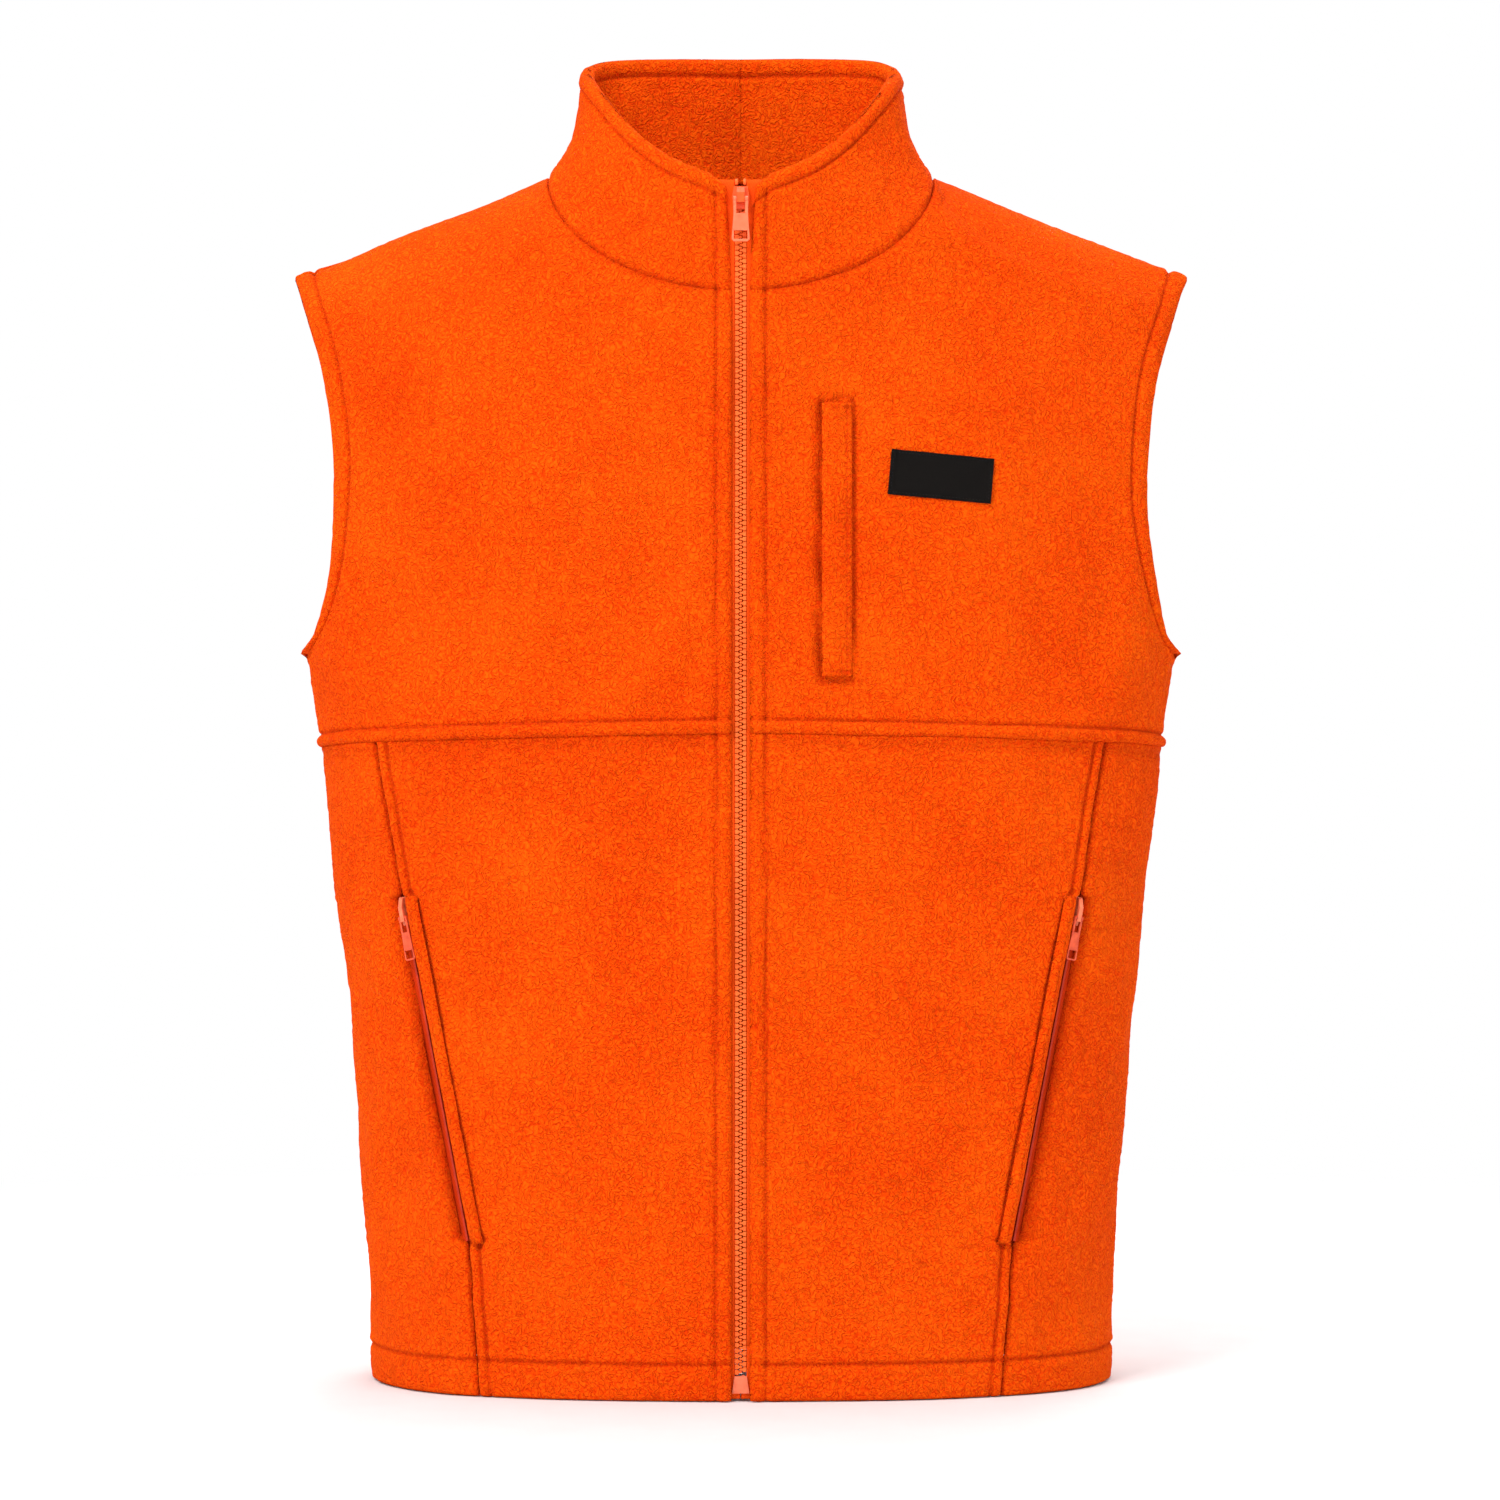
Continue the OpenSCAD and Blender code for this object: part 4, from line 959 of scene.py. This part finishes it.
def label():
    """Blank woven label with folded ends; returns the lines of its stitched border."""
    across, along = [spaced(size, (4, 4), 0.5) for size in LABEL_SIZE]
    u, v = np.meshgrid(across, along, indexing="ij")
    a, b = (u - 0.5) * LABEL_SIZE[0], (v - 0.5) * LABEL_SIZE[1]
    t = math.radians(LABEL_TURN)
    base = front_point(LABEL_AT[0] + a * math.cos(t) - b * math.sin(t),
                       LABEL_AT[1] + a * math.sin(t) + b * math.cos(t))
    d = edge_distances(base)
    folded = 0.35 * (1 - smooth(np.minimum(d[0], d[1]), 2.6, 3.2))
    relief = folded + bump(np.min(d, axis=0), LABEL_ROLL, -0.18, 0.5) + 0.25 * waves(base, 22, 41)
    obj, top, n = sheet("label_patch_woven", base, relief, 1.0, 1, outer=1.35, pile=0)
    finish_piece(obj, label_weave, ["label_patch"], 1)
    lines = [iso_line(top, n, d[k], LABEL_ROLL, axis) for k, axis in ((0, 0), (1, 0), (2, 1), (3, 1))]
    return [(path[2:-2] - 0.05 * lean[2:-2], lean[2:-2]) for path, lean in lines]


def neck_tape():
    """A tape round the back of the neck, from 14 to 4 mm below the neck seam."""
    angle, v = np.meshgrid(np.radians(np.linspace(115, 245, 60)), np.linspace(0, 1, 9), indexing="ij")
    a = np.minimum(angle, 2 * np.pi - angle)
    base = back_point(NECK_HALF * np.sin(a), neck_z(a) - 14 + 10 * v)
    base[..., 0] *= np.sign(np.pi - angle) + (angle == np.pi)
    obj, _, _ = sheet("neck_tape_woven", base, bump(v * 10, 5, 0.3, 2.4), 0.8, 1, outer=-TAPE_INSET + 0.6,
                      pile=0)
    finish_piece(obj, black_weave, ["neck_tape"])


def tube(path, radius, sides):
    """A closed round tube along a polyline in mm: returns points and faces."""
    tangent = unit(np.gradient(path, axis=0))
    up = unit(np.cross(tangent, [0.0, 1.0, 0.0]))
    out = np.cross(tangent, up)
    a = np.linspace(0, 2 * np.pi, sides, endpoint=False)[:, None]
    rings = path[:, None] + radius * (np.cos(a) * up[:, None] + np.sin(a) * out[:, None])
    return rings.reshape(-1, 3), tube_faces(len(path), sides)


def hanger_loop():
    """A cord that hangs as a half circle; its two ends go up behind the neck tape."""
    low, high = np.array(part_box("hanger_loop")) / MM
    r, top = (high[0] - low[0]) / 2 - 1.2, high[2]
    a = np.linspace(0, np.pi, 60)
    arc = stack(r * np.cos(a), (low[1] + high[1]) / 2, top - r * np.sin(a))
    root = back_point(r, neck_z(np.array(np.pi)) + 1)[1] - 3
    start = np.array([r - 2, root - 1.5, top - 3])
    end = start * [-1, 1, 1]
    rise = np.linspace(0, 1, 14)[:, None]
    lead = start + (arc[0] - start) * rise**0.8
    tail = arc[-1] + (end - arc[-1]) * rise**1.25
    obj = make_mesh("hanger_loop_cord", *tube(np.concatenate([lead[:-1], arc, tail[1:]]), 1.15, 12))
    finish_piece(obj, black_weave, ["hanger_loop"])


for side in SIDES:
    inner_parts(side)
hem_facing()
chest_pocket()
label_lines = label()
neck_tape()
hanger_loop()


# ======== zips ========
def zip_world(points):
    """From the chain's plane, +Z along the chain and -Y outward, to the row frame."""
    c, s = math.cos(ZIP_TILT), math.sin(ZIP_TILT)
    x, y, z = points[..., 0], points[..., 1], points[..., 2]
    return stack(x, -DEPTH_HEM + CHAIN_INSET + y * c + z * s, -y * s + z * c)


def chain_piece(node, ending, side, points, faces, material, blends=True):
    """A piece given in the chain's plane for the wearer's left, put in place on either side."""
    world = zip_world(np.reshape(points, (-1, 3))) * [side, 1, 1]
    obj = make_mesh(f"{node}_{ending}", world, mirrored(faces, side))
    return finish_piece(obj, material, [node], side if blends else 0)


def tape(node, side, zs, blends, tab=0.0):
    """A woven tape with a corded inner edge; under the box it reaches `tab` further in."""
    inner, half, cord, thin = TOOTH_OUT + 0.05, TAPE_T / 2, 0.55, 0.1
    across = np.array([inner, inner + 0.35, inner + 0.9, inner + 1.5, 7.0, 9.5, TAPE_HALF - 0.3, TAPE_HALF])
    swell = np.array([thin, cord, cord, half, half * 0.9, half, half, thin])
    profile = np.concatenate([np.stack([across, -swell], -1), np.stack([across[::-1], swell[::-1]], -1)])
    reach_in = tab * (zs < BOX_FOOT)[:, None] * (profile[:, 0] < 6)
    points = stack(profile[:, 0] - reach_in, profile[:, 1], zs[:, None])
    faces = tube_faces(len(zs), len(profile))
    chain_piece(node, "woven", side, points, faces, tape_weave, blends)


def tooth():
    """A moulded tooth: a block that grips the tape and a rounded head past the middle."""
    outline = np.array([[-TOOTH_IN, -0.22], [-TOOTH_IN + 0.25, -0.56], [0.35, -0.60], [0.78, -0.44],
                        [1.02, -0.62], [1.25, -1.12], [1.5, -1.30], [TOOTH_OUT - 0.25, -1.30],
                        [TOOTH_OUT, -1.1]])
    outline = np.concatenate([outline, outline[::-1] * [1, -1]])
    centre = np.array([1.25, 0.0])
    half, chamfer = TOOTH_T / 2, 0.22
    rings = []
    for y, scale in ((-half, 0.84), (-half + chamfer, 1.0), (half - chamfer, 1.0), (half, 0.84)):
        x, z = (centre + (outline - centre) * scale).T
        rings.append(stack(x, y, z))
    return np.concatenate(rings), mirrored(tube_faces(len(rings), len(outline)), -1)


def teeth(node, side, z0, z1, blends):
    points, faces = tooth()
    zs = np.arange(z0, z1 - TOOTH_H + 1e-6, TOOTH_PITCH) + TOOTH_H / 2
    row = points + stack(0, 0, zs)[:, None]
    faces = repeated(faces, len(zs), len(points))
    obj = chain_piece(node, "moulded", side, row, faces, teeth_plastic, blends)
    obj.data.polygons.foreach_set("use_smooth", np.zeros(len(obj.data.polygons), bool))


def top_stop(side):
    """A small moulded clip with rounded ends over the tape's corded edge."""
    z0, height, corners = SLIDER_Z + SLIDER_LEN + 1, 3.4, 16
    a = np.linspace(0, 2 * np.pi, corners, endpoint=False)
    centre = np.array([2.3, 0])
    spread = np.stack([0.9 * np.sign(np.cos(a)) * np.abs(np.cos(a)) ** 0.5,
                       TOOTH_T / 2 * np.sign(np.sin(a)) * np.abs(np.sin(a)) ** 0.5], -1)
    rings = []
    for up, scale in ((0, 0.7), (0.4, 1), (height / 2, 1.02), (height - 0.4, 1), (height, 0.7)):
        x, y = (centre + spread * scale).T
        rings.append(stack(x, y, z0 + up))
    faces = tube_faces(len(rings), corners)
    chain_piece(f"{SIDES[side]}_top_stop", "moulded", side, rings, faces, teeth_plastic)


for side, name in SIDES.items():
    shift = TOOTH_PITCH / 2 if side > 0 else 0.0
    tape(f"{name}_zip_tape", side, np.linspace(SPLIT_Z, COLLAR_FRONT - 2, 217), True)
    low_rows = np.concatenate([[1.0, 2.4, 3.6], np.linspace(BOX_FOOT + 0.3, SPLIT_Z, 10)])
    tape(f"{name}_zip_tape_lower", side, low_rows, False, 3.0)
    teeth(f"{name}_zip_teeth", side, UPPER_START + shift, TEETH_END, True)
    teeth(f"{name}_zip_teeth_lower", side, TEETH_START + shift, UPPER_START, False)
    top_stop(side)


# ======== stitches ========
def read_line(values, s, at):
    """Values given at the lengths s along a line, read at the lengths `at`."""
    return np.stack([np.interp(at, s, values[:, c]) for c in range(3)], -1)


def stitches_on(path, lean, pitch, length, radius):
    """Points of the stitches along one line: an array over stitch, ring, corner and x, y, z."""
    s = np.concatenate([[0], np.cumsum(np.linalg.norm(np.diff(path, axis=0), axis=1))])
    at = np.arange(pitch, s[-1] - pitch, pitch)
    place, up = read_line(path, s, at), unit(read_line(lean, s, at))
    along = unit(read_line(path, s, at + 0.6) - place)
    across = np.cross(along, up)
    share, plump = STITCH_RINGS.T
    sink = 0.35 * (share * 2) ** 2
    core = place[:, None] + share[:, None] * length * along[:, None] - sink[:, None] * up[:, None]
    a = np.linspace(0, 2 * np.pi, STITCH_SIDES, endpoint=False)[:, None]
    circle = np.cos(a) * across[:, None, None] + np.sin(a) * up[:, None, None]
    return core[:, :, None] + plump[:, None, None] * radius * circle


def stitch_mesh(name, lines, material, side, pitch=STITCH_PITCH, length=STITCH_LEN, radius=STITCH_R):
    """Each stitch is a short plump thread lying in its line."""
    rows = [stitches_on(path, lean, pitch, length, radius) for path, lean in lines]
    threads = np.concatenate([row for row in rows if len(row) > 1])
    one = tube_faces(len(STITCH_RINGS), STITCH_SIDES)
    faces = repeated(one, len(threads), len(STITCH_RINGS) * STITCH_SIDES)
    finish_piece(make_mesh(name, threads.reshape(-1, 3), faces), material, [], side)


stitch_mesh("left_front_stitching", stitch_lines["left"], thread, 1)
stitch_mesh("right_front_stitching", stitch_lines["right"], thread, -1)
stitch_mesh("body_stitching", stitch_lines["torso"], thread, 0)
stitch_mesh("label_stitching", label_lines, black_thread, 1, 1.9, 1.5, 0.2)

# ======== CAD hardware: rounded edges and moulded or enamelled finishes ========
HARDWARE = {"main_slider": slider_paint, "main_slider_crown": slider_paint, "main_pull": pull_plastic,
            "retainer_box": pull_plastic, "insertion_pin": pull_plastic}
for name in SIDES.values():
    HARDWARE[f"{name}_pocket_slider"] = pull_plastic
    HARDWARE[f"{name}_pocket_pull"] = pocket_pull_plastic
    # painted shade: the pocket coil and pocket tape take the darkened materials for the slit's shade
    HARDWARE[f"{name}_pocket_coil"] = shaded_coil_plastic
    HARDWARE[f"{name}_pocket_tape"] = shaded_pocket_tape_weave
for node, material in HARDWARE.items():
    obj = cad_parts[node]
    obj.data.materials.clear()
    obj.data.materials.append(material)
    bevel = obj.modifiers.new("soft_edges", "BEVEL")
    bevel.width = 0.22 * MM
    bevel.segments = 3
    bevel.limit_method = "ANGLE"
    bevel.angle_limit = math.radians(40)


# ======== stage ========
def pale_floor_material():
    """Matte white that takes the vest's shadow; away from the vest the camera sees it as plain white."""
    m = Nodes("pale_floor")
    place = m.place(False)
    speck = m.noise(place, 30, 3.0)
    m.set(Base_Color=m.ramp(speck, [(0.2, (0.80, 0.80, 0.80)), (0.8, (0.83, 0.83, 0.83))]), Roughness=0.9,
          Specular_IOR_Level=0.1)
    away = m.add("ShaderNodeVectorMath", operation="LENGTH")
    m.link(place, away.inputs[0])
    far = m.add("ShaderNodeMapRange", interpolation_type="SMOOTHSTEP")
    m.link(away.outputs["Value"], far.inputs["Value"])
    far.inputs["From Min"].default_value = 0.45
    far.inputs["From Max"].default_value = 1.3
    seen = m.math("MULTIPLY", far.outputs[0], m.add("ShaderNodeLightPath").outputs["Is Camera Ray"])
    white = m.add("ShaderNodeEmission")
    mix = m.add("ShaderNodeMixShader")
    m.link(seen, mix.inputs[0])
    m.link(m.shader.outputs[0], mix.inputs[1])
    m.link(white.outputs[0], mix.inputs[2])
    m.link(mix.outputs[0], m.tree.nodes["Material Output"].inputs[0])
    return m.material


def cyclorama():
    """A round pale floor that curves up into a wall all the way round."""
    near, flat, radius, rise, corners = 900, 2600, 900, 4200, 64
    turn = np.linspace(0, np.pi / 2, 16)
    r = np.concatenate([[1, near, flat], flat + radius * np.sin(turn[1:]), [flat + radius]])
    z = np.concatenate([[0, 0, 0], radius - radius * np.cos(turn[1:]), [rise]]) - 0.6
    a = np.linspace(0, 2 * np.pi, corners, endpoint=False)[:, None]
    points = stack(r * np.cos(a), r * np.sin(a), z)
    floor = make_mesh("floor", points.reshape(-1, 3), [grid_faces(corners, len(r), flip=True, ring=True)])
    floor.data.materials.append(pale_floor_material())


def area_light(name, place, aim, size, power):
    light = bpy.data.lights.new(name, "AREA")
    light.shape = "RECTANGLE"
    light.size, light.size_y = size
    light.energy = power
    obj = bpy.data.objects.new(name, light)
    obj.location = place
    obj.rotation_euler = (Vector(aim) - Vector(place)).to_track_quat("-Z", "Y").to_euler()
    bpy.context.scene.collection.objects.link(obj)


def studio_world():
    """An even white glow as light; the camera sees plain white."""
    world = bpy.data.worlds.new("studio_world")
    world.use_nodes = True
    tree = world.node_tree
    sky = tree.nodes["Background"]
    sky.inputs[0].default_value = (1, 1, 1, 1)
    sky.inputs[1].default_value = 0.345
    backdrop = tree.nodes.new("ShaderNodeBackground")
    backdrop.inputs[0].default_value = (1, 1, 1, 1)
    path = tree.nodes.new("ShaderNodeLightPath")
    mix = tree.nodes.new("ShaderNodeMixShader")
    tree.links.new(path.outputs["Is Camera Ray"], mix.inputs[0])
    tree.links.new(sky.outputs[0], mix.inputs[1])
    tree.links.new(backdrop.outputs[0], mix.inputs[2])
    tree.links.new(mix.outputs[0], tree.nodes["World Output"].inputs[0])
    bpy.context.scene.world = world
    bpy.context.scene.view_settings.view_transform = "Standard"
    bpy.context.scene.view_settings.look = "None"


def photo_camera(away=2.6, in_view=0.87, sensor=36.0):
    """The photograph's view: level and straight on, `away` metres off, with `in_view` metres across."""
    data = bpy.data.cameras.new("camera")
    data.sensor_width = sensor
    data.lens = sensor * away / in_view
    camera = bpy.data.objects.new("camera", data)
    camera.location = (0.0052, -away, 0.361)
    camera.rotation_euler = (math.radians(90), 0, 0)
    bpy.context.scene.collection.objects.link(camera)
    bpy.context.scene.camera = camera


cyclorama()
area_light("key_soft", (-1.5, -2.0, 2.7), (0, 0, 0.50), (1.4, 1.4), 79)
area_light("fill_soft", (2.3, -2.4, 1.5), (0, 0, 0.42), (2.2, 2.2), 15)
area_light("top_soft", (0.2, 0.2, 2.9), (0, 0, 0.4), (2.2, 1.6), 38)
area_light("back_soft", (0.6, 2.4, 2.0), (0, 0, 0.4), (2.0, 1.6), 40)
studio_world()
photo_camera()

bpy.context.view_layer.update()
